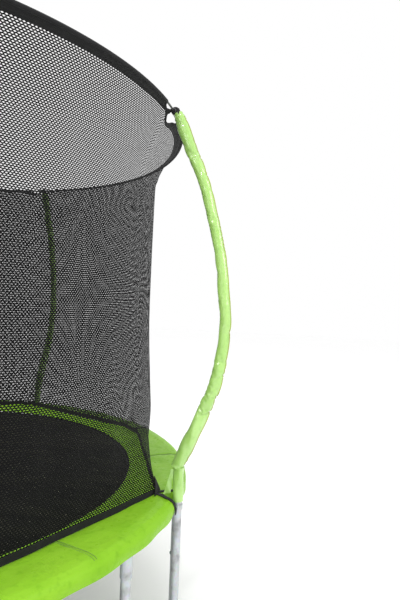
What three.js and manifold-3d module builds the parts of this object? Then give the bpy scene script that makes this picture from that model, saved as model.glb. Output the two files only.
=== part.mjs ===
// A round backyard trampoline, ten feet across, with a safety net hung inside four bowed poles.
// Millimetres, +Z up. The origin is on the ground under the middle of the jumping mat.
// Angles are degrees about +Z from +X; the poles stand on the X and Y axes.
import * as THREE from "three";
import { mergeVertices } from "three/addons/utils/BufferGeometryUtils.js";
import Module from "manifold-3d";

const wasm = await Module();
wasm.setup();

// ---- Driving dimensions ----
const FULL_TURN = 360;
const CUT_OVERRUN = 1; // how far a cutter runs past the face that it opens

const FRAME_RADIUS = 1506; // centre line of the steel ring
const FRAME_HEIGHT = 760;
const TUBE_RADIUS = 19;
const TUBE_WALL = 1.5;
const TUBE_SIDES = 8;
const ROUND_SIDES = 12; // facets of a strap, a cap or a pin
const FIT_GAP = 0.4; // running gap between a spigot and its bore
const BUTT_GAP = 0.4; // gap between faces that meet
const SPIGOT_LENGTH = 60;
const BORE_OVERRUN = 5; // how much further than a spigot the bore inside it runs

const POLE_ANGLES = [0, 90, 180, 270];
const POLE_RADIUS = 1549; // pole centre line where it passes the ring
const POLE_LOWER_BOTTOM = 70;
const POLE_LOWER_TOP = 905;
const POLE_UPPER_BOTTOM = 825;
const POLE_UPPER_RADIUS = 16;
// Where the bowed part's straight steps meet, as shares of its length.
const POLE_SHARES = [0, 0.052, 0.08, 0.15, 0.25, 0.35, 0.45, 0.55, 0.65, 0.76, 0.87, 0.955, 1];
// The bowed part of a pole as [distance from the middle, height].
const POLE_BOW = [
  [POLE_RADIUS, POLE_UPPER_BOTTOM],
  [POLE_RADIUS, 870],
  [POLE_RADIUS, 915],
  [1555, 950],
  [1588, 1036],
  [1646, 1169],
  [1683, 1260],
  [1706, 1350],
  [1723, 1460],
  [1730, 1580],
  [1721, 1696],
  [1700, 1850],
  [1633, 2124],
  [1556, 2325],
  [1491, 2486],
];
const SLEEVE_RADIUS = 28;
const SLEEVE_BORE = 21.2;

// The flat straps that clamp a pole: their arms reach in to the ring and to the leg's hump.
const STRAP_WALL = 3;
const STRAP_INSET = 8; // how much lower than its arm the strap is, at each end
const ARM_OVERLAP = 12; // how far short of the pole's middle the arm ends
const RAIL_ARM_HALF = 34; // half the width of the arm at the ring
const RAIL_ARM_RISE = 14; // how far above the middle of the rail it reaches
const SHELF_HALF = 28; // half the width of its shelf under the rail
const FOOT_ARM_HALF = 30;
const FOOT_ARM_RISE = 17;
const BOLT_RADIUS = 5;
const BOLT_LENGTH = 9;
const BOLT_INSET = 9; // from the arm's edge and from the pole's middle to the bolt's middle
const BOLT_SIDES = 6;

const RAILS = 8;
const RAIL_STEPS = 5;
const RAIL_BORE_LEAD = 0.1; // degrees that a rail's bore starts before the rail does
const LEG_SPREAD = 15; // degrees from a pole to each of its leg uprights
const SOCKET_OUTER = 22.5;
const SOCKET_BOTTOM = 640;
const SOCKET_ROOF = 737;
const SOCKET_TOP = 755; // inside the rail's lower wall
const UPRIGHT_BOTTOM = 330;
const LEG_BEND = 110;
const LEG_RUNNER_END = 215; // from the middle of the leg to where the runner starts to rise
const LEG_HUMP_HEIGHT = 170;
const LEG_BEND_STEPS = 3;
const LEG_RISE_STEPS = 4;

const RING_RADIUS = 1461; // fibreglass ring that carries the net
const RING_HEIGHT = 2520;
const ROD_RADIUS = 5;
const ROD_SIDES = 6;
const ROD_FIT_GAP = 0.7;
const RODS = 6;
const ROD_START = -22.5;
const ROD_STEPS = 8;
const FERRULE_RADIUS = 7.5;
const FERRULE_LENGTH = 80;

const CAP_RADIUS = 22;
const CAP_SOCKET = 42;
const CAP_HEAD = 50;
const CAP_FIT_GAP = 0.6;
const CAP_LIP_INSET = 2; // the chamfer at the cap's mouth
const CAP_LIP_RISE = 4;
// The cap's crown as [distance short of its end, distance inside its radius].
const CAP_CROWN = [
  [14, 0],
  [4, 5],
  [0, 13],
];
const CAP_EYE_RADIUS = 13; // the eye on the cap that the fibreglass ring passes through
const CAP_EYE_BORE = 7.2;
const CAP_EYE_LENGTH = 36;

const MAT_RADIUS = 1290;
const MAT_THICKNESS = 4;
const MAT_SIDES = 60;
const SPRINGS = 60;
const SPRING_RADIUS = 9;
const SPRING_THICKNESS = 14; // of the flat piece that stands for the springs
const SPRING_INNER = 1316;
const SPRING_OUTER = 1477;
const HOOK_RING_HALF = 4; // half the width of the ring of hooks at the mat's edge

const PAD_INNER = 1255;
const PAD_SHOULDER = 1500; // where the pad starts to turn down over the frame
const PAD_OUTER = 1550;
const PAD_LIP_BOTTOM = 735;
const PAD_NOTCH = 31; // radius of the notch round each pole
const PAD_THICKNESS = 20;
const PAD_SIDES = 40;
const PAD_MAT_GAP = 5; // gap under the pad's inner edge
const PAD_RING_GAP = 2; // gap between the ring and the pad over it
const PAD_FOLD_WIDTH = 10; // where the pad's underside turns down inside the lip
const PAD_FOLD_DROP = 14;
const PAD_SIDE_TOP = 768; // where the lip's outside starts to round over
const PAD_ROUND_WIDTH = 15;
const PAD_ROUND_RISE = 8;
const PAD_POCKET_INNER = 1521; // the room inside the lip for a pole's bracket
const PAD_POCKET_HALF = 36;
const PAD_POCKET_ROOF = 1; // how far below the pad's underside the room ends

const NET_THICKNESS = 3;
// The net's outside as [height, radius]: it flares to the ring above and to the pad below.
const NET_PROFILE = [
  [801, 1387],
  [950, 1364],
  [1250, 1342],
  [1600, 1326],
  [2200, 1325],
  [2320, 1342],
  [2410, 1379],
  [2500, 1418],
  [2509, 1440],
];
const NET_COLUMNS = 9;
const NET_SEAM = 0.03; // degrees of gap at each end of a panel

const DOOR_MIDDLE = 225;
const DOOR_HALF_ANGLE = 12.5;
const DOOR_BOTTOM = 860;
const DOOR_TOP = 2010;
const DOOR_CUT = 3; // width of the slit round the door
const ZIP_OFFSET = 1.1; // degrees from the door's free edge to the slider
const ZIP_FACE = 1328; // radius of the slider's inner face
const ZIP_TOP = 1990;
const ZIP_LENGTH = 26;
const ZIP_WIDTH = 16;
const ZIP_DEPTH = 8;
const EAR_OFFSET = 5.5; // from the slider's middle to the middle of each ear
const EAR_WIDTH = 2;
const EAR_HALF_HEIGHT = 4;
const EAR_ROOT = 7; // from the slider's inner face to where the ears start and end
const EAR_TIP = 15;
const PIN_OUT = 12; // from the slider's inner face to the pull's pin
const PIN_DOWN = 13; // from the slider's top to the pin
const PIN_RADIUS = 1.2;
const PIN_BORE = 1.7;
const PIN_LENGTH = 12.8;
const PULL_LENGTH = 49;
const PULL_WIDTH = 8;
const PULL_THICKNESS = 2;

// ---- Materials ----
function material(color, roughness, metalness) {
  return new THREE.MeshStandardMaterial({ color, roughness, metalness });
}
const galvanised = material(0xb4b8ba, 0.42, 0.9);
const blackPlastic = material(0x1c1c1e, 0.55, 0);
const limeVinyl = material(0xb9e886, 0.32, 0);
const padVinyl = material(0x86b446, 0.42, 0);
const matWeave = material(0x1f1f1b, 0.75, 0);
const netting = material(0x2a2a2b, 0.8, 0);
const fibreglass = material(0x2e3032, 0.4, 0);
const springSteel = material(0xc6c9cb, 0.3, 1);
const zipMetal = material(0x3a3a3c, 0.35, 0.8);

// ---- Helpers ----
const radians = (degrees) => (degrees * Math.PI) / 180;

// The angle in degrees that a length takes up on a circle.
const degreesOn = (radius, length) => (length / radius) * (180 / Math.PI);

function onCircle(radius, degrees, height) {
  const angle = radians(degrees);
  return new THREE.Vector3(radius * Math.cos(angle), radius * Math.sin(angle), height);
}

// The point a distance from one point on the straight line to another.
function towards(start, goal, distance) {
  return start.clone().addScaledVector(goal.clone().sub(start).normalize(), distance);
}

// Where two lengths of a ring of straight steps meet, with the points at a distance back along
// the first length's last step and ahead along the second one's first step.
function jointOn(radius, height, degrees, step) {
  const middle = onCircle(radius, degrees, height);
  const before = onCircle(radius, degrees - step, height);
  const after = onCircle(radius, degrees + step, height);
  const back = (distance) => towards(middle, before, distance);
  const ahead = (distance) => towards(middle, after, distance);
  return { middle, back, ahead };
}

// A closed three.js geometry as a solid that can be joined and cut.
function solid(geometry) {
  const bare = geometry.index ? geometry.toNonIndexed() : geometry.clone();
  bare.deleteAttribute("normal");
  bare.deleteAttribute("uv");
  const merged = mergeVertices(bare, 1e-3);
  const vertProperties = merged.attributes.position.array;
  const triVerts = new Uint32Array(merged.index.array);
  return new wasm.Manifold(new wasm.Mesh({ numProp: 3, vertProperties, triVerts }));
}

// A solid back to a three.js geometry.
function surface(body) {
  const mesh = body.getMesh();
  const geometry = new THREE.BufferGeometry();
  geometry.setAttribute("position", new THREE.BufferAttribute(mesh.vertProperties, 3));
  geometry.setIndex(new THREE.BufferAttribute(mesh.triVerts, 1));
  return geometry;
}

// A round section with a flat at the bottom; an inner radius makes it a tube.
function section(outer, inner = 0, sides = TUBE_SIDES) {
  const corners = (radius) => {
    const points = [];
    for (let i = 0; i < sides; i += 1) {
      const angle = (2 * Math.PI * (i + 0.5)) / sides;
      points.push(new THREE.Vector2(radius * Math.cos(angle), radius * Math.sin(angle)));
    }
    return points;
  };
  const shape = new THREE.Shape(corners(outer));
  if (inner > 0) shape.holes.push(new THREE.Path(corners(inner).reverse()));
  return shape;
}

function sweep(shape, path, steps) {
  return new THREE.ExtrudeGeometry(shape, { steps, bevelEnabled: false, extrudePath: path });
}

// An upright bar or tube between two heights.
function upright(outer, inner, bottom, top, sides = TUBE_SIDES) {
  const settings = { depth: top - bottom, bevelEnabled: false };
  const geometry = new THREE.ExtrudeGeometry(section(outer, inner, sides), settings);
  return geometry.translate(0, 0, bottom);
}

function block(x0, x1, y0, y1, z0, z1) {
  const box = new THREE.BoxGeometry(x1 - x0, y1 - y0, z1 - z0);
  return box.translate((x0 + x1) / 2, (y0 + y1) / 2, (z0 + z1) / 2);
}

class RingArc extends THREE.Curve {
  constructor(radius, height, from, to) {
    super();
    Object.assign(this, { radius, height, from, to });
  }
  getPoint(t, target = new THREE.Vector3()) {
    return target.copy(onCircle(this.radius, this.from + (this.to - this.from) * t, this.height));
  }
}

// A path swept with one step between each pair of its stations, however far apart they are.
class Stations extends THREE.Curve {
  constructor(points) {
    super();
    this.points = points;
  }
  getPoint(t, target = new THREE.Vector3()) {
    const last = this.points.length - 1;
    const i = Math.min(Math.floor(t * last), last - 1);
    return target.lerpVectors(this.points[i], this.points[i + 1], t * last - i);
  }
  getSpacedPoints() {
    return this.points.map((point) => point.clone());
  }
  getTangentAt(u, target = new THREE.Vector3()) {
    const last = this.points.length - 1;
    const i = Math.round(u * last);
    const back = this.points[Math.max(i - 1, 0)];
    const here = this.points[i];
    const ahead = this.points[Math.min(i + 1, last)];
    const arriving = here.clone().sub(back).normalize();
    const leaving = ahead.clone().sub(here).normalize();
    return target.copy(arriving).add(leaving).normalize();
  }
}

function sweepStations(shape, points) {
  return sweep(shape, new Stations(points), points.length - 1);
}

const trampoline = new THREE.Group();

function add(name, geometry, look, parent = trampoline) {
  const mesh = new THREE.Mesh(geometry, look);
  mesh.name = name;
  parent.add(mesh);
  return mesh;
}

// ---- Steel frame ----
// One eighth of the ring, with a leg socket under it and a spigot that enters the next rail.
function railGeometry(from, socketAt) {
  const to = from + FULL_TURN / RAILS;
  const step = FULL_TURN / RAILS / RAIL_STEPS;
  const joint = jointOn(FRAME_RADIUS, FRAME_HEIGHT, to, step);
  const root = joint.back(SPIGOT_LENGTH / 2);
  const bore = TUBE_RADIUS - TUBE_WALL;
  const arc = new RingArc(FRAME_RADIUS, FRAME_HEIGHT, from, to - degreesOn(FRAME_RADIUS, BUTT_GAP));
  const rail = solid(sweep(section(TUBE_RADIUS), arc, RAIL_STEPS));
  const spigotPath = [root, joint.middle, joint.ahead(SPIGOT_LENGTH)];
  const spigot = solid(sweepStations(section(bore - FIT_GAP), spigotPath));
  const borePath = [onCircle(FRAME_RADIUS, from - RAIL_BORE_LEAD, FRAME_HEIGHT)];
  for (let i = 0; i < RAIL_STEPS; i += 1) {
    borePath.push(onCircle(FRAME_RADIUS, from + i * step, FRAME_HEIGHT));
  }
  const railBore = solid(sweepStations(section(bore), [...borePath, root]));
  const innerStart = joint.back(SPIGOT_LENGTH / 2 + BORE_OVERRUN);
  const innerEnd = joint.ahead(SPIGOT_LENGTH + BORE_OVERRUN);
  const innerPath = [innerStart, joint.middle, innerEnd];
  const spigotBore = solid(sweepStations(section(bore - TUBE_WALL), innerPath));
  const at = onCircle(FRAME_RADIUS, socketAt, 0);
  const stub = upright(SOCKET_OUTER, 0, SOCKET_BOTTOM, SOCKET_TOP);
  const stubBore = upright(TUBE_RADIUS + 2 * FIT_GAP, 0, SOCKET_BOTTOM - CUT_OVERRUN, SOCKET_ROOF);
  const socket = solid(stub.translate(at.x, at.y, 0));
  const socketBore = solid(stubBore.translate(at.x, at.y, 0));
  const body = rail.add(socket).add(spigot);
  return surface(body.subtract(railBore).subtract(spigotBore).subtract(socketBore));
}

function addRails() {
  for (let i = 0; i < RAILS; i += 1) {
    const from = POLE_ANGLES[0] + (i * FULL_TURN) / RAILS;
    const startsAtPole = i % 2 === 0;
    const socketAt = startsAtPole ? from + LEG_SPREAD : from + FULL_TURN / RAILS - LEG_SPREAD;
    add(`top_rail_${i + 1}`, railGeometry(from, socketAt), galvanised);
    const foot = onCircle(FRAME_RADIUS, socketAt, 0);
    const bore = TUBE_RADIUS - TUBE_WALL;
    const tube = upright(TUBE_RADIUS, bore, UPRIGHT_BOTTOM, SOCKET_ROOF - BUTT_GAP);
    const post = add(`leg_upright_${i + 1}`, tube, galvanised);
    post.position.copy(foot);
  }
}

// The W of a leg in its own upright plane: down, along the ground, over a hump and back up.
function legStations(x, halfWidth) {
  const ground = TUBE_RADIUS * Math.cos(Math.PI / TUBE_SIDES);
  const at = (y, z) => new THREE.Vector3(x, y, z);
  const bend = new THREE.QuadraticBezierCurve3(
    at(-halfWidth, ground + LEG_BEND),
    at(-halfWidth, ground),
    at(-halfWidth + LEG_BEND, ground),
  );
  const rise = new THREE.CubicBezierCurve3(
    at(-LEG_RUNNER_END, ground),
    at(-LEG_RUNNER_END / 2, ground),
    at(-LEG_RUNNER_END / 2, LEG_HUMP_HEIGHT),
    at(0, LEG_HUMP_HEIGHT),
  );
  const top = at(-halfWidth, UPRIGHT_BOTTOM - BUTT_GAP);
  const firstHalf = [top, ...bend.getPoints(LEG_BEND_STEPS), ...rise.getPoints(LEG_RISE_STEPS)];
  const secondHalf = firstHalf.slice(0, -1).reverse();
  return [...firstHalf, ...secondHalf.map((point) => at(-point.y, point.z))];
}

function legGeometry() {
  const x = FRAME_RADIUS * Math.cos(radians(LEG_SPREAD));
  const halfWidth = FRAME_RADIUS * Math.sin(radians(LEG_SPREAD));
  const bore = TUBE_RADIUS - TUBE_WALL;
  const stations = legStations(x, halfWidth);
  const spigotFoot = UPRIGHT_BOTTOM - SPIGOT_LENGTH / 2;
  const spigotTop = UPRIGHT_BOTTOM + SPIGOT_LENGTH;
  const spigot = upright(bore - FIT_GAP, 0, spigotFoot, spigotTop);
  const spigotBore = upright(bore - TUBE_WALL, 0, spigotFoot - CUT_OVERRUN, spigotTop + CUT_OVERRUN);
  const inside = [...stations];
  inside[0] = stations[0].clone().setZ(spigotFoot);
  inside[inside.length - 1] = stations.at(-1).clone().setZ(spigotFoot);
  let leg = solid(sweepStations(section(TUBE_RADIUS), stations));
  const ends = [-halfWidth, halfWidth];
  for (const y of ends) leg = leg.add(solid(spigot.clone().translate(x, y, 0)));
  leg = leg.subtract(solid(sweepStations(section(bore), inside)));
  for (const y of ends) leg = leg.subtract(solid(spigotBore.clone().translate(x, y, 0)));
  return surface(leg);
}

// ---- Poles ----
function poleStations() {
  const points = POLE_BOW.map(([x, z]) => new THREE.Vector3(x, 0, z));
  const curve = new THREE.CatmullRomCurve3(points, false, "centripetal");
  return POLE_SHARES.map((share) => curve.getPointAt(share));
}

// A flat strap bent round a pole, with an arm that reaches in towards the leg or the ring.
function clampGeometry(armInner, armHalfWidth, bottom, top, shelf) {
  const strapInner = TUBE_RADIUS + 2 * FIT_GAP;
  const strapOuter = strapInner + STRAP_WALL;
  const plateOuter = POLE_RADIUS - TUBE_RADIUS - FIT_GAP;
  const strap = upright(strapOuter, 0, bottom + STRAP_INSET, top - STRAP_INSET, ROUND_SIDES);
  const arm = block(armInner, POLE_RADIUS - ARM_OVERLAP, -armHalfWidth, armHalfWidth, bottom, top);
  let clamp = solid(strap.translate(POLE_RADIUS, 0, 0)).add(solid(arm));
  for (const side of [-1, 1]) {
    const bolt = new THREE.CylinderGeometry(BOLT_RADIUS, BOLT_RADIUS, BOLT_LENGTH, BOLT_SIDES);
    const y = side * (armHalfWidth - BOLT_INSET);
    bolt.rotateZ(Math.PI / 2).translate(POLE_RADIUS - BOLT_INSET, y, (bottom + top) / 2);
    clamp = clamp.add(solid(bolt));
  }
  if (shelf) clamp = clamp.add(solid(shelf));
  const cutBottom = bottom - CUT_OVERRUN;
  const cutTop = top + CUT_OVERRUN;
  const pocket = block(plateOuter, POLE_RADIUS, -strapInner, strapInner, cutBottom, cutTop);
  const bore = upright(strapInner, 0, cutBottom, cutTop, ROUND_SIDES).translate(POLE_RADIUS, 0, 0);
  return surface(clamp.subtract(solid(bore)).subtract(solid(pocket)));
}

function railBracket() {
  const face = FRAME_RADIUS + TUBE_RADIUS + BUTT_GAP;
  const under = FRAME_HEIGHT - TUBE_RADIUS - BUTT_GAP;
  const bottom = under - STRAP_WALL;
  const shelfInner = FRAME_RADIUS - TUBE_RADIUS;
  const shelf = block(shelfInner, face + CUT_OVERRUN, -SHELF_HALF, SHELF_HALF, bottom, under);
  return clampGeometry(face, RAIL_ARM_HALF, bottom, FRAME_HEIGHT + RAIL_ARM_RISE, shelf);
}

function footBracket() {
  const face = FRAME_RADIUS * Math.cos(radians(LEG_SPREAD)) + TUBE_RADIUS + BUTT_GAP;
  const bottom = LEG_HUMP_HEIGHT - FOOT_ARM_RISE;
  return clampGeometry(face, FOOT_ARM_HALF, bottom, LEG_HUMP_HEIGHT + FOOT_ARM_RISE, null);
}

// The plastic head that closes a pole and holds the fibreglass ring.
function capGeometry(stations) {
  const end = stations.at(-1);
  const along = end.clone().sub(stations.at(-2)).normalize();
  const length = CAP_SOCKET + CAP_HEAD;
  const crown = CAP_CROWN.map(([short, inset]) => new THREE.Vector2(CAP_RADIUS - inset, length - short));
  const outer = [
    new THREE.Vector2(0, 0),
    new THREE.Vector2(CAP_RADIUS - CAP_LIP_INSET, 0),
    new THREE.Vector2(CAP_RADIUS, CAP_LIP_RISE),
    ...crown,
    new THREE.Vector2(0, length),
  ];
  const turn = new THREE.Quaternion().setFromUnitVectors(new THREE.Vector3(0, 1, 0), along);
  const start = end.clone().addScaledVector(along, -CAP_SOCKET);
  const place = (geometry) => geometry.applyQuaternion(turn).translate(start.x, start.y, start.z);
  const shell = solid(place(new THREE.LatheGeometry(outer, ROUND_SIDES)));
  const boreRadius = (POLE_UPPER_RADIUS + CAP_FIT_GAP) / Math.cos(Math.PI / ROUND_SIDES);
  const boreLength = CAP_SOCKET + 2 * CUT_OVERRUN;
  const bore = new THREE.CylinderGeometry(boreRadius, boreRadius, boreLength, ROUND_SIDES);
  bore.translate(0, CAP_SOCKET / 2 - BUTT_GAP, 0);
  const acrossRing = (radius, width) => {
    const bar = new THREE.CylinderGeometry(radius, radius, width, TUBE_SIDES);
    return solid(bar.translate(RING_RADIUS, 0, RING_HEIGHT));
  };
  const head = shell.add(acrossRing(CAP_EYE_RADIUS, CAP_EYE_LENGTH)).subtract(solid(place(bore)));
  return surface(head.subtract(acrossRing(CAP_EYE_BORE, 2 * CAP_EYE_LENGTH)));
}

function addPoles() {
  const stations = poleStations();
  const bore = POLE_UPPER_RADIUS - TUBE_WALL;
  const lower = upright(TUBE_RADIUS, TUBE_RADIUS - TUBE_WALL, POLE_LOWER_BOTTOM, POLE_LOWER_TOP);
  lower.translate(POLE_RADIUS, 0, 0);
  const sleeve = sweepStations(section(SLEEVE_RADIUS, SLEEVE_BORE), stations.slice(0, -1));
  const pieces = [
    ["leg_base", legGeometry(), galvanised],
    ["pole_lower", lower, galvanised],
    ["pole_upper", sweepStations(section(POLE_UPPER_RADIUS, bore), stations), galvanised],
    ["pole_foot_bracket", footBracket(), galvanised],
    ["pole_rail_bracket", railBracket(), galvanised],
    ["pole_sleeve", sleeve, limeVinyl],
    ["pole_cap", capGeometry(stations), blackPlastic],
  ];
  POLE_ANGLES.forEach((angle, i) => {
    const station = new THREE.Group();
    station.rotation.z = radians(angle);
    trampoline.add(station);
    for (const [name, geometry, look] of pieces) add(`${name}_${i + 1}`, geometry, look, station);
  });
}

// ---- Fibreglass ring ----
// One rod with the steel ferrule at its end, which takes the start of the next rod.
function rodGeometry(from) {
  const step = FULL_TURN / RODS / ROD_STEPS;
  const joint = jointOn(RING_RADIUS, RING_HEIGHT, from + FULL_TURN / RODS, step);
  const stations = [onCircle(RING_RADIUS, from + degreesOn(RING_RADIUS, BUTT_GAP), RING_HEIGHT)];
  for (let i = 1; i <= ROD_STEPS; i += 1) {
    stations.push(onCircle(RING_RADIUS, from + i * step, RING_HEIGHT));
  }
  const rod = solid(sweepStations(section(ROD_RADIUS, 0, ROD_SIDES), stations));
  const ferruleEnd = joint.ahead(FERRULE_LENGTH / 2);
  const ferrulePath = [joint.back(FERRULE_LENGTH / 2), joint.middle, ferruleEnd];
  const ferrule = solid(sweepStations(section(FERRULE_RADIUS, 0, ROD_SIDES), ferrulePath));
  const socketPath = [joint.middle, joint.ahead(FERRULE_LENGTH / 2 + BORE_OVERRUN)];
  const socket = solid(sweepStations(section(ROD_RADIUS + ROD_FIT_GAP, 0, ROD_SIDES), socketPath));
  return surface(rod.add(ferrule).subtract(socket));
}

function addRods() {
  for (let i = 0; i < RODS; i += 1) {
    add(`top_rod_${i + 1}`, rodGeometry(ROD_START + (i * FULL_TURN) / RODS), fibreglass);
  }
}

// ---- Jumping surface ----
function matGeometry() {
  const mat = new THREE.CylinderGeometry(MAT_RADIUS, MAT_RADIUS, MAT_THICKNESS, MAT_SIDES);
  return mat.rotateX(Math.PI / 2).translate(0, 0, FRAME_HEIGHT - MAT_THICKNESS / 2);
}

// Every spring with the ring of hooks at the mat's edge, as one flat toothed piece.
function springGeometry() {
  const outline = [];
  const root = SPRING_INNER + HOOK_RING_HALF;
  const corner = (radius, degrees) => {
    const point = onCircle(radius, degrees, 0);
    return new THREE.Vector2(point.x, point.y);
  };
  const rootHalf = degreesOn(root, SPRING_RADIUS);
  const tipHalf = degreesOn(SPRING_OUTER, SPRING_RADIUS);
  for (let i = 0; i < SPRINGS; i += 1) {
    const middle = ((i + 0.5) * FULL_TURN) / SPRINGS;
    outline.push(corner(root, middle - rootHalf), corner(SPRING_OUTER, middle - tipHalf));
    outline.push(corner(SPRING_OUTER, middle + tipHalf), corner(root, middle + rootHalf));
  }
  const shape = new THREE.Shape(outline);
  const inner = new THREE.Path();
  inner.absarc(0, 0, SPRING_INNER - HOOK_RING_HALF, 0, 2 * Math.PI, true);
  shape.holes.push(inner);
  const settings = { depth: SPRING_THICKNESS, bevelEnabled: false, curveSegments: SPRINGS };
  const bottom = FRAME_HEIGHT - SPRING_THICKNESS / 2;
  return new THREE.ExtrudeGeometry(shape, settings).translate(0, 0, bottom);
}

// The padded ring that covers the springs: lower next to the mat, turned down over the frame
// at its outer edge, and notched round each pole.
function padGeometry() {
  const innerBottom = FRAME_HEIGHT + PAD_MAT_GAP;
  const outerBottom = FRAME_HEIGHT + TUBE_RADIUS + PAD_RING_GAP;
  const lipInner = PAD_OUTER - PAD_THICKNESS / 2;
  const outline = [
    [PAD_INNER, innerBottom],
    [SPRING_OUTER, outerBottom],
    [lipInner - PAD_FOLD_WIDTH, outerBottom],
    [lipInner, outerBottom - PAD_FOLD_DROP],
    [lipInner, PAD_LIP_BOTTOM],
    [PAD_OUTER, PAD_LIP_BOTTOM],
    [PAD_OUTER, PAD_SIDE_TOP],
    [PAD_OUTER - PAD_ROUND_WIDTH, outerBottom + PAD_ROUND_RISE],
    [PAD_SHOULDER, outerBottom + PAD_THICKNESS],
    [PAD_INNER, innerBottom + PAD_THICKNESS],
    [PAD_INNER, innerBottom],
  ].map(([r, z]) => new THREE.Vector2(r, z));
  const low = PAD_LIP_BOTTOM - CUT_OVERRUN;
  const high = outerBottom + PAD_THICKNESS + CUT_OVERRUN;
  const room = outerBottom - PAD_POCKET_ROOF;
  let pad = solid(new THREE.LatheGeometry(outline, PAD_SIDES).rotateX(Math.PI / 2));
  for (const angle of POLE_ANGLES) {
    const notch = upright(PAD_NOTCH, 0, low, high, ROUND_SIDES).translate(POLE_RADIUS, 0, 0);
    const slot = block(POLE_RADIUS, PAD_OUTER + CUT_OVERRUN, -PAD_NOTCH, PAD_NOTCH, low, high);
    const pocket = block(PAD_POCKET_INNER, PAD_OUTER, -PAD_POCKET_HALF, PAD_POCKET_HALF, low, room);
    for (const cutter of [notch, slot, pocket]) {
      pad = pad.subtract(solid(cutter.rotateZ(radians(angle))));
    }
  }
  return surface(pad);
}

// ---- Safety net ----
// A wall of netting between two directions: the net's profile turned about the middle.
function netWall(from, to, columns) {
  const outside = NET_PROFILE.map(([z, r]) => new THREE.Vector2(r, z));
  const inside = NET_PROFILE.map(([z, r]) => new THREE.Vector2(r - NET_THICKNESS, z)).reverse();
  const outline = [...outside, ...inside, outside[0].clone()];
  const whole = new THREE.LatheGeometry(outline, (columns * FULL_TURN) / (to - from));
  return solid(whole.rotateX(Math.PI / 2)).intersect(wedge(from, to, 0, 2 * RING_HEIGHT));
}

// An upright slice of the space round the middle, between two directions and two heights.
function wedge(from, to, bottom, top) {
  const reach = 2 * FRAME_RADIUS;
  const middle = (from + to) / 2;
  const corners = [from, middle, to].map((angle) => onCircle(reach, angle, 0));
  const outline = [new THREE.Vector2(0, 0), ...corners.map((p) => new THREE.Vector2(p.x, p.y))];
  const settings = { depth: top - bottom, bevelEnabled: false };
  const slice = new THREE.ExtrudeGeometry(new THREE.Shape(outline), settings);
  return solid(slice.translate(0, 0, bottom));
}

function addNet() {
  const doorSlit = degreesOn(NET_PROFILE[0][1], DOOR_CUT);
  POLE_ANGLES.forEach((angle, i) => {
    const from = angle + NET_SEAM;
    const to = angle + 90 - NET_SEAM;
    let panel = netWall(from, to, NET_COLUMNS);
    if (from < DOOR_MIDDLE && DOOR_MIDDLE < to) {
      const opening = wedge(
        DOOR_MIDDLE - DOOR_HALF_ANGLE,
        DOOR_MIDDLE + DOOR_HALF_ANGLE,
        DOOR_BOTTOM,
        DOOR_TOP,
      );
      const flap = wedge(
        DOOR_MIDDLE - DOOR_HALF_ANGLE + doorSlit,
        DOOR_MIDDLE + DOOR_HALF_ANGLE - doorSlit,
        DOOR_BOTTOM + DOOR_CUT,
        DOOR_TOP - DOOR_CUT,
      );
      add("door_flap", surface(panel.intersect(flap)), netting);
      panel = panel.subtract(opening);
    }
    add(`net_panel_${i + 1}`, surface(panel), netting);
  });
}

// The zip's slider, at rest at the top of the door, and the pull that hangs between its ears.
function addZip() {
  const station = new THREE.Group();
  station.rotation.z = radians(DOOR_MIDDLE + DOOR_HALF_ANGLE + ZIP_OFFSET);
  trampoline.add(station);
  const pivot = ZIP_TOP - PIN_DOWN;
  const pin = (radius, width) => {
    const rod = new THREE.CylinderGeometry(radius, radius, width, ROUND_SIDES);
    return solid(rod.translate(ZIP_FACE + PIN_OUT, 0, pivot));
  };
  const halfWidth = ZIP_WIDTH / 2;
  const bottom = ZIP_TOP - ZIP_LENGTH;
  let slider = solid(block(ZIP_FACE, ZIP_FACE + ZIP_DEPTH, -halfWidth, halfWidth, bottom, ZIP_TOP));
  for (const side of [-1, 1]) {
    const from = side * EAR_OFFSET - EAR_WIDTH / 2;
    const low = pivot - EAR_HALF_HEIGHT;
    const high = pivot + EAR_HALF_HEIGHT;
    const ear = block(ZIP_FACE + EAR_ROOT, ZIP_FACE + EAR_TIP, from, from + EAR_WIDTH, low, high);
    slider = slider.add(solid(ear));
  }
  add("zip_slider", surface(slider.subtract(pin(PIN_BORE, ZIP_WIDTH))), zipMetal, station);
  const middle = ZIP_FACE + PIN_OUT;
  const inner = middle - PULL_THICKNESS / 2;
  const outer = middle + PULL_THICKNESS / 2;
  const tab = block(inner, outer, -PULL_WIDTH / 2, PULL_WIDTH / 2, pivot - PULL_LENGTH, pivot);
  add("zip_pull", surface(solid(tab).add(pin(PIN_RADIUS, PIN_LENGTH))), zipMetal, station);
}

addRails();
addPoles();
addRods();
add("jumping_mat", matGeometry(), matWeave);
add("spring_set", springGeometry(), springSteel);
add("safety_pad", padGeometry(), padVinyl);
addNet();
addZip();

export default trampoline;
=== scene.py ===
# The looks of a backyard trampoline with a safety net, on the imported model's frame.
# Metres, +Z up; the origin is on the ground under the middle of the mat.
# Directions are degrees about +Z from +X; the poles stand at 0, 90, 180 and 270.
import math
import bpy
import numpy as np
from mathutils import Matrix, Vector


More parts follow.
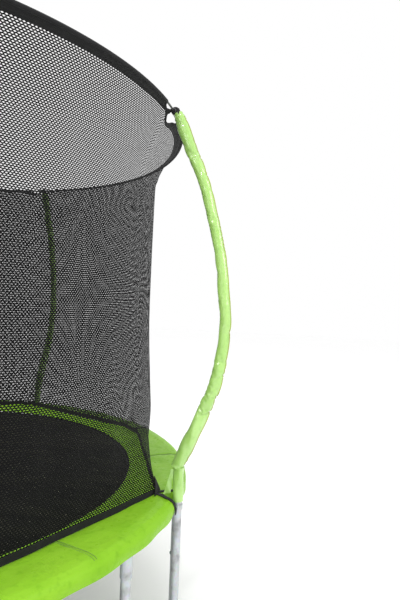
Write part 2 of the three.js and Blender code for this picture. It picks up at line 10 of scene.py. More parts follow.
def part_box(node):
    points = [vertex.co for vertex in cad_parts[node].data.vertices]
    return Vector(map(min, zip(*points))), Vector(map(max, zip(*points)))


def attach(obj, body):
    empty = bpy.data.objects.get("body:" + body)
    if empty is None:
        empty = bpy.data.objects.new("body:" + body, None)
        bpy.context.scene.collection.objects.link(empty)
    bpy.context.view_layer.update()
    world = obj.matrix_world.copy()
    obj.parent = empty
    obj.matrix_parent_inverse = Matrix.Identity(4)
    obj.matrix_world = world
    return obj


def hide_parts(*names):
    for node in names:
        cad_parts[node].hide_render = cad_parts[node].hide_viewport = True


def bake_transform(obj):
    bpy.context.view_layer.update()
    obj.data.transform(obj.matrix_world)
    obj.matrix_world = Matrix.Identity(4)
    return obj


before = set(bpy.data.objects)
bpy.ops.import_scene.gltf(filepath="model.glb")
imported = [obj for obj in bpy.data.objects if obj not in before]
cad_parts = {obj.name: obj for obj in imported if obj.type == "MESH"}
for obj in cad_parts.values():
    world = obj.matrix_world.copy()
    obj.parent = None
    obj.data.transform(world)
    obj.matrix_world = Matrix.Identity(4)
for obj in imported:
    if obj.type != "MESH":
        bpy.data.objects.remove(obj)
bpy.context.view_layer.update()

# ---- Sizes of the CAD model ----
FULL_TURN = 360
QUARTER = 90  # degrees from one pole to the next
POLES = (0, 90, 180, 270)
ALONG_X, ALONG_Y, DOWN = (1, 0, 0), (0, 1, 0), (0, 0, -1)
FRAME_RADIUS = 1.506
FRAME_HEIGHT = 0.760
TUBE = 0.019  # radius of the steel tube
RAILS = 8
LEG_SPREAD = 15  # degrees from a pole to each of its legs
UPRIGHT_BOTTOM = 0.330
SOCKET = 0.0225
SOCKET_BOTTOM = 0.640
LEG_BEND = 0.110
RUNNER_END = 0.215
HUMP = 0.170
POLE_RADIUS = 1.549
POLE_BOTTOM = 0.070
POLE_BEND = 0.905
UPPER_TUBE = 0.016
# The bowed part of a pole as (distance from the middle, height).
POLE_BOW = (
    (1.549, 0.825), (1.549, 0.870), (1.549, 0.915), (1.555, 0.950), (1.588, 1.036),
    (1.646, 1.169), (1.683, 1.260), (1.706, 1.350), (1.723, 1.460), (1.730, 1.580),
    (1.721, 1.696), (1.700, 1.850), (1.633, 2.124), (1.556, 2.325), (1.491, 2.486),
)
RING_RADIUS = 1.461
RING_HEIGHT = 2.520
ROD = 0.005
RODS = 6
ROD_START = -22.5
MAT_RADIUS = 1.290
MAT_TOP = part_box("jumping_mat")[1][2]
PAD_INNER = 1.255
PAD_OUTER = 1.550
PAD_NOTCH = 0.030
SPRINGS = 60
SPRING_INNER = 1.318
SPRING_OUTER = 1.486
# The net from the ring down to the pad as (distance from the middle, height).
NET_PROFILE = (
    (1.461, 2.520), (1.440, 2.509), (1.418, 2.500), (1.379, 2.410), (1.342, 2.320),
    (1.325, 2.200), (1.326, 1.600), (1.342, 1.250), (1.364, 0.950), (1.380, 0.800),
)
# Where the net's bottom edge is pulled out, as (degrees past a pole, distance from the middle).
HEM_CORNERS = ((0, 1.452), (41, 1.410), (49, 1.410), (90, 1.452))
# The gap between the ring and the black band as (degrees past a pole, depth): a slit on one side of
# the pole's tie and a drop-shaped hole on the other.
BAND_TOP = (
    (-4.6, 0.0), (-3.8, 0.016), (-2.6, 0.024), (-1.6, 0.016), (-1.15, 0.0), (-0.9, 0.018), (0.0, 0.046),
    (1.0, 0.066), (2.4, 0.063), (3.8, 0.048), (4.7, 0.030), (5.3, 0.0),
)
# The band's lower edge in the same way.
BAND_BOTTOM = (
    (-45, 0.046), (-10, 0.041), (-6.5, 0.037), (-1.5, 0.036), (-0.4, 0.050), (0.6, 0.072), (1.6, 0.078),
    (3.0, 0.075), (5.0, 0.064), (8.0, 0.056), (13.0, 0.050), (45, 0.046),
)
CELL_WIDTH = 0.013  # one mesh of the netting
CELL_HEIGHT = 0.0075
HOLE_SHARE = (0.80, 0.72)  # how much of a mesh its diamond hole spans
DOOR = (212.5, 237.5)
DOOR_HEIGHT = (0.860, 2.010)

# ---- The camera: the photograph's angle, from a standing person's eye height ----
EYE = Vector((2.021, -2.130, 1.630))
EYE_TURN, EYE_PITCH, EYE_ROLL = (math.radians(a) for a in (102.86, 3.24, 2.26))
LENS = 29.25
SENSOR = 36
LENS_SHIFT = (0.028, -0.037)


def make_camera():
    data = bpy.data.cameras.new("camera")
    data.lens = LENS
    data.sensor_width = SENSOR
    data.shift_x, data.shift_y = LENS_SHIFT
    facing = Vector((math.cos(EYE_TURN), math.sin(EYE_TURN), 0))
    ahead = facing * math.cos(EYE_PITCH) + Vector((0, 0, math.sin(EYE_PITCH)))
    level = Vector((facing.y, -facing.x, 0))
    above = level.cross(ahead)
    right = level * math.cos(EYE_ROLL) + above * math.sin(EYE_ROLL)
    up = above * math.cos(EYE_ROLL) - level * math.sin(EYE_ROLL)
    camera = bpy.data.objects.new("camera", data)
    bpy.context.collection.objects.link(camera)
    turn = Matrix((right, up, -ahead)).transposed().to_4x4()
    camera.matrix_world = Matrix.Translation(EYE) @ turn
    bpy.context.scene.camera = camera


make_camera()


# ---- Points ----
def around(radius, degrees, height=0.0):
    """Points at these distances, directions and heights, any of which may be arrays."""
    angle = np.radians(degrees)
    return np.stack(np.broadcast_arrays(radius * np.cos(angle), radius * np.sin(angle), height), -1)


def turned(points, degrees):
    """The same points turned about the middle."""
    c, s = math.cos(math.radians(degrees)), math.sin(math.radians(degrees))
    return points @ np.array(((c, s, 0), (-s, c, 0), (0, 0, 1)))


def unit(vectors):
    return vectors / np.linalg.norm(vectors, axis=-1, keepdims=True)


def smooth_path(corners, steps):
    """A smooth line through the corners, at equal steps along it."""
    knots = np.array(corners, float)
    padded = np.vstack((2 * knots[0] - knots[1], knots, 2 * knots[-1] - knots[-2]))
    t = np.linspace(0, 1, 24, endpoint=False)[:, None]
    pieces = []
    for a, b, c, d in zip(padded, padded[1:], padded[2:], padded[3:]):
        bend = (2 * a - 5 * b + 4 * c - d) * t**2 + (3 * b - a - 3 * c + d) * t**3
        pieces.append((2 * b + (c - a) * t + bend) / 2)
    return evenly(np.vstack(pieces + [knots[-1:]]), steps)


def evenly(line, steps):
    """The line with its points moved to equal steps along it."""
    reach = travelled(line)
    at = np.linspace(0, reach[-1], steps)
    return np.stack([np.interp(at, reach, line[:, k]) for k in range(line.shape[1])], -1)


def travelled(line):
    """How far along the line each of its points is."""
    return np.concatenate(([0], np.cumsum(np.linalg.norm(np.diff(line, axis=0), axis=1))))


def bezier(corners, steps):
    """A curve from the first corner to the last, pulled towards those between them."""
    t = np.linspace(0, 1, steps)[:, None]
    points = np.array(corners, float)[:, None]
    while len(points) > 1:
        points = points[:-1] * (1 - t) + points[1:] * t
    return points[0]


def step_between(value, low, high):
    """0 below low, 1 above high, with a smooth rise between."""
    t = np.clip((value - low) / (high - low), 0, 1)
    return t * t * (3 - 2 * t)


# ---- Meshes ----
LID = (0.001, 0.9)  # the two smaller rings that close a tube's end, as shares of its radius
EDGE_ANGLE = 40  # degrees: sharper edges than this look like edges
CLOTH_ANGLE = 75
BAND_ANGLE = 60
ALL_SMOOTH = 180


def grid_quads(rows, columns, wrap_rows=False, wrap_columns=False):
    """The quads between neighbours in a grid of points, as rows of four indices."""
    i = np.arange(rows if wrap_rows else rows - 1)[:, None]
    j = np.arange(columns if wrap_columns else columns - 1)[None, :]
    below, beside = (i + 1) % rows, (j + 1) % columns
    corners = np.broadcast_arrays(i * columns + j, i * columns + beside,
                                  below * columns + beside, below * columns + j)
    return np.stack(corners, -1).reshape(-1, 4)


def with_lids(middles, rings):
    """The rings of a tube, with smaller rings at both ends that close it."""
    first, last = middles[:1, None], middles[-1:, None]
    start = [first + (rings[:1] - first) * share for share in LID]
    end = [last + (rings[-1:] - last) * share for share in reversed(LID)]
    return np.concatenate(start + [rings] + end)


class Shape:
    """A mesh that grows from grids of points. Every point keeps its place along and across its grid."""

    def __init__(self):
        self.points, self.quads, self.places, self.count = [], [], [], 0

    def add(self, grid, wrap_rows=False, wrap_columns=False, quads=None, place=None):
        rows, columns = grid.shape[:2]
        if place is None:
            along = np.linalg.norm(np.diff(grid, axis=0, prepend=grid[:1]), axis=2).cumsum(0)
            across = np.linalg.norm(np.diff(grid, axis=1, prepend=grid[:, :1]), axis=2).cumsum(1)
            place = np.stack((along, across, np.zeros_like(along)), -1)
        if quads is None:
            quads = grid_quads(rows, columns, wrap_rows, wrap_columns)
        self.points.append(grid.reshape(-1, 3))
        self.places.append(place.reshape(-1, 3))
        self.quads.append(quads + self.count)
        self.count += rows * columns
        return self

    def tube(self, path, radius, sides=16, reference=(0, 0, 1), closed=False, flat=1.0):
        """A round bar along a path, with its ends closed unless the path is a ring."""
        path = np.asarray(path, float)
        side, up = crosswise(path, reference, closed)
        angle = 2 * math.pi * np.arange(sides) / sides
        ring = side[:, None] * np.cos(angle)[None, :, None]
        ring = ring + up[:, None] * flat * np.sin(angle)[None, :, None]
        size = np.asarray(radius, float)
        size = np.broadcast_to(size[:, None] if size.ndim == 1 else size, (len(path), sides))
        points = path[:, None] + ring * size[..., None]
        if not closed:
            points = with_lids(path, points)
        return self.add(points, wrap_rows=closed, wrap_columns=True)

    def slab(self, front, back, wrap_rows=False):
        """A closed skin between two matching grids of points."""
        both = np.concatenate((front, back[:, ::-1]), 1)
        rows, columns = both.shape[:2]
        quads = [grid_quads(rows, columns, wrap_rows, True)]
        if not wrap_rows:
            k = np.arange(columns // 2 - 1)
            lid = np.stack((k, k + 1, columns - 2 - k, columns - 1 - k), 1)
            quads += [lid[:, ::-1], lid + (rows - 1) * columns]
        return self.add(both, quads=np.vstack(quads))

    def again(self, angles):
        """The same shape once in each of these directions."""
        points, places = np.vstack(self.points), np.vstack(self.places)
        quads, count = np.vstack(self.quads), self.count
        self.points = [turned(points, angle) for angle in angles]
        self.quads = [quads + count * k for k in range(len(angles))]
        self.places = [places] * len(angles)
        self.count = count * len(angles)
        return self


def crosswise(path, reference, closed):
    """Two directions square to the path at each of its points."""
    ahead = np.roll(path, -1, 0) - np.roll(path, 1, 0)
    if not closed:
        ahead[0], ahead[-1] = path[1] - path[0], path[-1] - path[-2]
    ahead = unit(ahead)
    side = unit(np.cross(np.broadcast_to(reference, ahead.shape), ahead))
    return side, np.cross(ahead, side)


def make_piece(name, shape, look, slot, body="frame", stands_for=(), sharp=EDGE_ANGLE):
    """A finished object from a shape, riding on a body, or on none when body is None."""
    points, quads = np.vstack(shape.points), np.vstack(shape.quads)
    mesh = bpy.data.meshes.new(name)
    mesh.vertices.add(len(points))
    mesh.vertices.foreach_set("co", points.astype(np.float32).ravel())
    mesh.loops.add(quads.size)
    mesh.loops.foreach_set("vertex_index", quads.astype(np.int32).ravel())
    mesh.polygons.add(len(quads))
    mesh.polygons.foreach_set("loop_start", np.arange(0, quads.size, 4, dtype=np.int32))
    mesh.update(calc_edges=True)
    mesh.shade_smooth()
    mesh.set_sharp_from_angle(angle=math.radians(sharp))
    place = mesh.attributes.new("place", "FLOAT_VECTOR", "POINT")
    place.data.foreach_set("vector", np.vstack(shape.places).astype(np.float32).ravel())
    mesh.materials.append(look)
    piece = bpy.data.objects.new(name, mesh)
    bpy.context.collection.objects.link(piece)
    if stands_for:
        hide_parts(*stands_for)
    if body:
        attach(piece, body)
    return piece


# ---- Materials ----
class Look:
    """A material and the nodes that lead to its shader."""

    def __init__(self, name, roughness, metallic=0.0, coat=0.0, sheen=0.0):
        self.material = bpy.data.materials.new(name)
        self.material.use_nodes = True
        self.nodes = self.material.node_tree.nodes
        self.links = self.material.node_tree.links
        self.shader = self.nodes["Principled BSDF"]
        for socket, value in (("Roughness", roughness), ("Metallic", metallic), ("Coat Weight", coat),
                              ("Sheen Weight", sheen)):
            self.shader.inputs[socket].default_value = value
        coordinates = self.nodes.new("ShaderNodeTexCoord")
        self.here = coordinates.outputs["Object"]
        attribute = self.nodes.new("ShaderNodeAttribute")
        attribute.attribute_name = "place"
        self.place = attribute.outputs["Vector"]
        self.last_bump = None

    def node(self, kind, inputs, output=0, **settings):
        """A new node's output. Each input is a socket to link or a value to set."""
        made = self.nodes.new(kind)
        for setting, value in settings.items():
            setattr(made, setting, value)
        for socket, value in inputs.items():
            self.feed(made.inputs[socket], value)
        return made.outputs[output]

    def feed(self, socket, value):
        if isinstance(value, bpy.types.NodeSocket):
            self.links.new(value, socket)
        else:
            socket.default_value = value

    def noise(self, scale, detail=3.0, where=None, stretch=None):
        where = self.here if where is None else where
        if stretch:
            where = self.node("ShaderNodeMapping", {"Vector": where, "Scale": stretch})
        return self.node("ShaderNodeTexNoise", {"Vector": where, "Scale": scale, "Detail": detail})

    def math(self, operation, a, b=0.0):
        return self.node("ShaderNodeMath", {0: a, 1: b}, operation=operation)

    def between(self, value, low, high, to_low=0.0, to_high=1.0):
        return self.node("ShaderNodeMapRange", {0: value, 1: low, 2: high, 3: to_low, 4: to_high})

    def mix(self, factor, first, second, how="MIX"):
        inputs = {0: factor, 6: first, 7: second}
        return self.node("ShaderNodeMix", inputs, output=2, data_type="RGBA", blend_type=how)

    def axes(self, where=None):
        """The three coordinates of a point, or of a place along and across its shape."""
        made = self.nodes.new("ShaderNodeSeparateXYZ")
        self.links.new(self.place if where is None else where, made.inputs[0])
        return made.outputs

    def ribs(self, value, period):
        """A wave from 0 to 1 that repeats every period."""
        wave = self.math("SINE", self.math("MULTIPLY", value, 2 * math.pi / period))
        return self.between(wave, -1.0, 1.0)

    def bump(self, height, distance, strength=1.0):
        inputs = {"Height": height, "Distance": distance, "Strength": strength}
        if self.last_bump:
            inputs["Normal"] = self.last_bump
        self.last_bump = self.node("ShaderNodeBump", inputs)
        self.feed(self.shader.inputs["Normal"], self.last_bump)

    def colour(self, value):
        self.feed(self.shader.inputs["Base Color"], value)

    def roughness(self, value):
        self.feed(self.shader.inputs["Roughness"], value)


def srgb(*screen):
    """A colour given as it looks on a screen, 0 to 255, by the sRGB formula."""
    shares = [value / 255 for value in screen]
    return tuple(s / 12.92 if s <= 0.04045 else ((s + 0.055) / 1.055) ** 2.4 for s in shares) + (1.0,)


def darker(colour, share):
    return tuple(c * share for c in colour[:3]) + (1.0,)


def steel_look():
    """Zinc-plated tube: a faint crystal pattern, a fine grain and scuffs."""
    look = Look("galvanised_steel", 0.38, metallic=0.9)
    crystals = look.node("ShaderNodeTexVoronoi", {"Vector": look.here, "Scale": 90.0}, output=1)
    shade = look.mix(0.12, srgb(186, 190, 193), crystals, "MULTIPLY")
    scuffs = look.noise(14.0, 6.0)
    dull = look.between(scuffs, 0.56, 0.7)
    look.colour(look.mix(dull, shade, srgb(150, 152, 152)))
    look.roughness(look.between(scuffs, 0.35, 0.7, 0.3, 0.55))
    look.bump(look.noise(400.0, 2.0), 0.0002, 0.4)
    look.bump(scuffs, 0.0004, 0.3)
    return look.material


def dark_metal_look(name, colour, roughness):
    """Bare metal with patches of tarnish."""
    look = Look(name, roughness, metallic=1.0)
    tarnish = look.noise(60.0, 5.0)
    look.colour(look.mix(look.between(tarnish, 0.4, 0.75), colour, darker(colour, 0.55)))
    look.roughness(look.between(tarnish, 0.3, 0.7, roughness - 0.08, roughness + 0.14))
    look.bump(look.noise(700.0, 2.0), 0.0001, 0.5)
    return look.material


def plastic_look():
    """Black moulded plastic with a fine spark-eroded grain and rubbed, greyer edges."""
    look = Look("black_plastic", 0.5)
    grain = look.noise(900.0, 2.0)
    wear = look.between(look.noise(25.0, 5.0), 0.5, 0.72)
    look.colour(look.mix(wear, srgb(26, 26, 28), srgb(46, 46, 47)))
    look.roughness(look.between(grain, 0.3, 0.7, 0.42, 0.6))
    look.bump(grain, 0.0002, 0.5)
    return look.material


def fibreglass_look():
    """Dark pultruded rod: fine glass strands run along it."""
    look = Look("fibreglass", 0.35, coat=0.3)
    strands = look.noise(1.0, 4.0, look.place, (30.0, 2500.0, 1.0))
    look.colour(look.mix(strands, srgb(28, 29, 31), srgb(66, 68, 70)))
    look.bump(strands, 0.0002, 0.6)
    return look.material


def vinyl_look(name, body, deep, pale, coat, wrinkle, shine=0.5):
    """PVC cloth over foam: a fine leather grain, soft dents, creases, and a scrim showing through."""
    look = Look(name, 0.36, coat=coat)
    look.shader.inputs["Specular IOR Level"].default_value = shine
    look.shader.inputs["Coat Roughness"].default_value = 0.07
    look.shader.inputs["Subsurface Weight"].default_value = 0.05
    look.shader.inputs["Subsurface Radius"].default_value = (0.004, 0.006, 0.002)
    cloud = look.noise(5.0, 4.0)
    fine = look.noise(38.0, 5.0)
    tone = look.mix(look.between(cloud, 0.35, 0.65), body, pale)
    creases = look.between(look.noise(11.0, 3.0, stretch=(1.0, 1.0, 3.0)), 0.47, 0.53)
    ridge = look.math("PINGPONG", creases, 0.5)
    tone = look.mix(look.between(fine, 0.55, 0.75, 0.0, 0.5), tone, deep)
    look.colour(tone)
    look.roughness(look.between(fine, 0.3, 0.7, 0.26, 0.46))
    scrim = look.math("ADD", look.ribs(look.axes()[0], 0.0016), look.ribs(look.axes()[1], 0.0016))
    look.bump(scrim, 0.00012, 0.35)
    look.bump(look.noise(520.0, 3.0), 0.00025, 0.4)
    look.bump(fine, 0.0022 * wrinkle, 0.6)
    look.bump(ridge, 0.002 * wrinkle, 0.5)
    return look.material


def mat_look():
    """Black woven polypropylene: flat tapes over and under each other, with scuffs and bright specks."""
    look = Look("mat_weave", 0.62, sheen=0.02)
    look.shader.inputs["Specular IOR Level"].default_value = 0.12
    x, y, _ = look.axes(look.here)
    tape = 0.0032
    warp, weft = look.ribs(x, tape), look.ribs(y, tape)
    checks = look.node("ShaderNodeTexChecker", {"Vector": look.here, "Scale": 1 / tape}, output=1)
    weave = look.math("ADD", look.math("MULTIPLY", checks, warp),
                      look.math("MULTIPLY", look.math("SUBTRACT", 1.0, checks), weft))
    streaks = look.between(look.noise(3.0, 5.0, stretch=(1.0, 3.6, 1.0)), 0.46, 0.66)
    specks = look.between(look.noise(150.0, 2.0), 0.68, 0.74)
    base = look.mix(weave, srgb(6, 6, 1), srgb(16, 16, 8))
    base = look.mix(look.math("MULTIPLY", streaks, 0.6), base, srgb(50, 50, 36))
    look.colour(look.mix(specks, base, srgb(146, 146, 122)))
    look.roughness(look.between(weave, 0.0, 1.0, 0.7, 0.5))
    look.bump(weave, 0.0009, 0.8)
    look.bump(streaks, 0.003, 0.15)
    return look.material


def webbing_look(name, tone, bright):
    """Woven strap: slanting ribs crossed by rows of picks, worn paler in places."""
    look = Look(name, 0.78, sheen=0.05)
    look.shader.inputs["Specular IOR Level"].default_value = 0.2
    along, across, _ = look.axes()
    ribs = look.ribs(look.math("ADD", along, look.math("MULTIPLY", across, 0.6)), 0.0022)
    picks = look.ribs(across, 0.0026)
    weave = look.math("MULTIPLY", ribs, picks)
    fade = look.between(look.noise(18.0, 4.0), 0.5, 0.75, 0.0, 0.4)
    look.colour(look.mix(fade, look.mix(weave, tone, bright), bright))
    look.bump(weave, 0.0006, 0.8)
    return look.material


def thread_look():
    """Knitted polyester thread: a twisted strand with lighter fibres on top."""
    look = Look("netting", 0.85, sheen=0.03)
    look.shader.inputs["Specular IOR Level"].default_value = 0.05
    along, across, _ = look.axes()
    twist = look.ribs(look.math("ADD", along, across), 0.0014)
    fade = look.noise(3.0, 3.0)
    tone = look.mix(twist, srgb(8, 8, 9), srgb(22, 22, 23))
    look.colour(look.mix(look.between(fade, 0.45, 0.7, 0.0, 0.35), tone, srgb(30, 30, 30)))
    look.bump(twist, 0.0004, 0.8)
    return look.material


def stitch_look(name, colour):
    """Lockstitch thread: short bright stitches with a dark gap at each needle hole."""
    look = Look(name, 0.7, sheen=0.3)
    along = look.axes()[0]
    stitch = look.between(look.ribs(along, 0.006), 0.15, 0.5)
    look.colour(look.mix(stitch, darker(colour, 0.35), colour))
    look.bump(look.ribs(along, 0.0011), 0.0003, 0.6)
    return look.material


STEEL = steel_look()
SPRING = dark_metal_look("spring_steel", srgb(205, 208, 210), 0.26)
ZIP = dark_metal_look("zip_metal", srgb(70, 70, 74), 0.36)
PLASTIC = plastic_look()
GLASS = fibreglass_look()
LIME = vinyl_look("sleeve_vinyl", srgb(150, 192, 96), srgb(122, 172, 68), srgb(162, 202, 110), 1.0, 0.5)
GREEN = vinyl_look("pad_vinyl", srgb(120, 172, 34), srgb(98, 150, 24), srgb(132, 182, 44), 0.0, 0.7,
                   shine=0.08)
PIPING = vinyl_look("piping_vinyl", srgb(146, 156, 62), srgb(120, 132, 44), srgb(160, 168, 74), 0.3, 0.3)
MAT = mat_look()
WEBBING = webbing_look("webbing", srgb(16, 16, 17), srgb(44, 44, 45))
THREAD = thread_look()
BLACK_STITCH = stitch_look("black_stitch", srgb(52, 52, 54))
GREEN_STITCH = stitch_look("green_stitch", srgb(96, 138, 44))


# ---- Steel frame ----
WALL = 0.0014  # a rail's spigot is this much thinner than its tube
RAIL_GAP = 0.02  # degrees from a rail's end to the joint
SPIGOT = 1.0  # degrees that a spigot reaches to each side of the joint
JOINT_SCREW = 1.6  # degrees past the joint
SOCKET_SCREW = 0.690  # its height
POST_TOP = 0.7366
BOLT = 0.0055  # radius of a bolt's head
BOLT_HEIGHT = 0.005
WASHER = 0.0014
WELD = 0.0024  # radius of a weld's bead
WELD_RIPPLE = 0.0005
SADDLE = 0.004  # how far a weld's height follows the round of the rail


def hex_bolt(shape, centre, outward):
    """A bolt head with a washer under it."""
    centre, outward = np.array(centre), np.array(outward, float)
    reference = ALONG_X if outward[2] else (0, 0, 1)
    seat = centre + outward * WASHER
    shape.tube([centre, seat], BOLT * 1.5, 20, reference)
    shape.tube([seat, centre + outward * BOLT_HEIGHT], BOLT, 6, reference)


def upright(foot, levels, radii):
    """A standing tube over a point, with its radius at each level."""
    return Shape().tube([foot + (0, 0, z) for z in levels], radii, 24, ALONG_X)


def make_rails():
    """The eight rails of the ring with their sockets, and the leg post in each socket."""
    for i in range(RAILS):
        start = i * FULL_TURN / RAILS
        end = start + FULL_TURN / RAILS
        leg_at = start + LEG_SPREAD if i % 2 == 0 else end - LEG_SPREAD
        directions = np.linspace(start + RAIL_GAP, end - RAIL_GAP, 28)
        rail = Shape().tube(around(FRAME_RADIUS, directions, FRAME_HEIGHT), TUBE, 20)
        spigot = np.linspace(end - SPIGOT, end + SPIGOT, 5)
        rail.tube(around(FRAME_RADIUS, spigot, FRAME_HEIGHT), TUBE - WALL, 20)
        add_socket(rail, leg_at)
        hex_bolt(rail, around(FRAME_RADIUS, end + JOINT_SCREW, FRAME_HEIGHT - TUBE), DOWN)
        hex_bolt(rail, around(FRAME_RADIUS - SOCKET, leg_at, SOCKET_SCREW), -around(1, leg_at))
        make_piece(f"rail_{i + 1}", rail, STEEL, "galvanised_steel", stands_for=[f"top_rail_{i + 1}"])
        levels = (UPRIGHT_BOTTOM, UPRIGHT_BOTTOM + 0.003, POST_TOP)
        post = upright(around(FRAME_RADIUS, leg_at), levels, [TUBE - 0.0006, TUBE, TUBE])
        hex_bolt(post, around(FRAME_RADIUS - TUBE, leg_at, UPRIGHT_BOTTOM + 0.03), -around(1, leg_at))
        make_piece(f"leg_post_{i + 1}", post, STEEL, "galvanised_steel", stands_for=[f"leg_upright_{i + 1}"])


def add_socket(rail, leg_at):
    """The socket that takes a leg post, and its weld under the rail."""
    foot = around(FRAME_RADIUS, leg_at)
    levels = (SOCKET_BOTTOM, SOCKET_BOTTOM + 0.004, FRAME_HEIGHT - 0.012)
    rail.tube([foot + (0, 0, z) for z in levels], [SOCKET - 0.001, SOCKET, SOCKET], 24, ALONG_X)
    angle = np.arange(0, FULL_TURN, 10)
    height = FRAME_HEIGHT - TUBE * 0.72 + SADDLE * np.cos(np.radians(2 * (angle - leg_at)))
    bead = foot + around(SOCKET + 0.001, angle, height)
    rail.tube(bead, WELD + WELD_RIPPLE * np.sin(0.19 * angle), 8, closed=True)


def leg_path():
    """A leg's W: down one side, along the ground, over the hump and up the other side."""
    half = FRAME_RADIUS * math.sin(math.radians(LEG_SPREAD))
    ground = TUBE - 0.0008
    top = [(-half, UPRIGHT_BOTTOM - 0.0004), (-half, UPRIGHT_BOTTOM - 0.01)]
    bend = bezier([(-half, ground + LEG_BEND), (-half, ground), (-half + LEG_BEND, ground)], 14)
    rise = bezier([(-RUNNER_END, ground), (-RUNNER_END / 2, ground), (-RUNNER_END / 2, HUMP), (0, HUMP)], 14)
    first = np.vstack((top, bend, rise))
    return np.vstack((first, first[-2::-1] * (-1, 1)))


def make_legs():
    """The four leg bases, each with two spigots that go up into the leg posts."""
    plane = FRAME_RADIUS * math.cos(math.radians(LEG_SPREAD))
    path = leg_path()
    points = np.column_stack((np.full(len(path), plane), path))
    for i, pole in enumerate(POLES):
        leg = Shape().tube(points, TUBE, 24, ALONG_X)
        for side in (-1, 1):
            post = points[0] * (1, side, 1)
            leg.tube([post, post + (0, 0, 0.05)], TUBE - 0.0016, 20, ALONG_X)
        leg.again([pole])
        make_piece(f"leg_{i + 1}", leg, STEEL, "galvanised_steel", stands_for=[f"leg_base_{i + 1}"])


# ---- Poles ----
BOW = smooth_path([(r, 0, z) for r, z in POLE_BOW], 121)
BOW_END = unit(BOW[-1] - BOW[-4])  # the way the pole points at its head
# The plug in a pole's foot as (height above the tube's end, radius).
PLUG = ((-0.004, 0.017), (0.0, 0.0205), (0.012, 0.0205), (0.0125, 0.0198))


def pole_tube(levels, radii, pole):
    """A tube on a pole's upright axis."""
    return Shape().tube([(POLE_RADIUS, 0, z) for z in levels], radii, 24, ALONG_Y).again([pole])


def keep_cad_shape(name, look, softness):
    """Leaves a CAD node in place, with its look and softened edges."""
    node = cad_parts[name]
    node.data.materials.clear()
    node.data.materials.append(look)
    bevel = node.modifiers.new("soft_edges", "BEVEL")
    bevel.width, bevel.segments, bevel.limit_method = softness, 2, "ANGLE"


def make_poles():
    """Each pole's straight lower tube with its foot plug, its bowed upper tube and its clamps."""
    for i, pole in enumerate(POLES):
        levels = (POLE_BOTTOM + 0.004, POLE_BOTTOM + 0.008, POLE_BEND)
        lower = pole_tube(levels, [TUBE - 0.0004, TUBE, TUBE], pole)
        name = f"pole_base_{i + 1}"
        make_piece(name, lower, STEEL, "galvanised_steel", stands_for=[f"pole_lower_{i + 1}"])
        plug = pole_tube([POLE_BOTTOM + z for z, _ in PLUG], [radius for _, radius in PLUG], pole)
        make_piece(f"pole_plug_{i + 1}", plug, PLASTIC, "black_plastic")
        upper = Shape().tube(BOW, UPPER_TUBE, 20, ALONG_Y).again([pole])
        make_piece(f"pole_bow_{i + 1}", upper, STEEL, "galvanised_steel", stands_for=[f"pole_upper_{i + 1}"])
        for part in ("foot", "rail"):
            keep_cad_shape(f"pole_{part}_bracket_{i + 1}", STEEL, 0.0008)


# ---- Sleeves ----
# The sleeve's radius as (distance up from its lower end, radius): fuller above the bend.
SLEEVE_GIRTH = (
    (0.0, 0.0262), (0.08, 0.0285), (0.25, 0.0285), (0.42, 0.0262), (0.68, 0.0242), (1.05, 0.0240),
    (1.25, 0.0252), (1.68, 0.0258),
)
SLEEVE_STATIONS = 270
SLEEVE_SIDES = 48
SLEEVE_ANGLES = 2 * math.pi * np.arange(SLEEVE_SIDES) / SLEEVE_SIDES
SLEEVE_STRAIGHT = 0.965  # the sleeve runs on straight below this height of the pole's bend
SLEEVE_OVERHANG = 0.050
SLEEVE_PAST_POLE = 0.024
SLEEVE_FLARE = 0.0022  # how much wider its open lower end is
SLEEVE_ROLLS = 26
ROLL = 0.0125  # a roll's height times its wave number, so long rolls are high ones
SLEEVE_DENTS = 15
DENT = 0.0028
SLEEVE_CLOSES = 0.026  # the last stretch, which is drawn in round the pole's head
ANY_PHASE = (0, 6.3)  # radians
SEAM_SIDE = 355  # degrees round the sleeve from the side that faces away from the mat
SEAM = 0.0023
SKIN_GROWTH = (0.014, 0.150)  # how much longer the vinyl is than the bow, on its outer and inner side
SKIN_PRESSURE = 4
SKIN_STIFFNESS = 0.05
SKIN_GAP = 0.001
FOAM_RADIUS = 0.0205
SKIN_LIMITS = (0.0212, 0.0315)  # how near and how far from the pole's middle the vinyl may lie
CLOTH_FRAMES = 20
FOOT_LEVELS = (0.779, 0.924)  # bottom and top of the lower sleeve
FOOT_RADIUS = 0.0228
FOOT_FLARE = 0.003
FLAP_TOP = 0.912
FLAP_DROP = 0.100
FLAP_THICKNESS = 0.0016


def sleeve_radius(reach, angle, seed):
    """How far the sleeve stands from its middle before it drapes: rolls, dents, and gathers at the top."""
    total = reach[-1]
    s, a = reach[:, None], angle[None, :]
    rng = np.random.default_rng(seed)
    size = np.interp(reach, *np.array(SLEEVE_GIRTH).T)[:, None] + 0 * s * a
    for _ in range(SLEEVE_ROLLS):
        wave, turn = rng.uniform(14, 70), rng.integers(0, 4)
        phase, slant = rng.uniform(*ANY_PHASE), rng.uniform(-1.2, 1.2)
        size = size + ROLL / wave * np.sin(wave * s + turn * a + phase + slant * np.cos(a + phase))
    for _ in range(SLEEVE_DENTS):
        at, where = rng.uniform(0.1, total - 0.1), rng.uniform(*ANY_PHASE)
        width, length = rng.uniform(0.005, 0.014), rng.uniform(0.5, 1.3)
        across = np.exp(-((s - at - 0.02 * np.cos(a - where)) / width) ** 2)
        about = np.exp(-((np.angle(np.exp(1j * (a - where)))) / length) ** 2)
        size = size - DENT * across * about
    close = np.clip((s - total + SLEEVE_CLOSES) / SLEEVE_CLOSES, 0, 1)
    gathers = (0.0012 * np.sin(11 * a) + 0.0008 * np.sin(17 * a + 1)) * step_between(s, total - 0.06, total)
    return (size + gathers) * np.sqrt(1 - 0.9 * close**2)


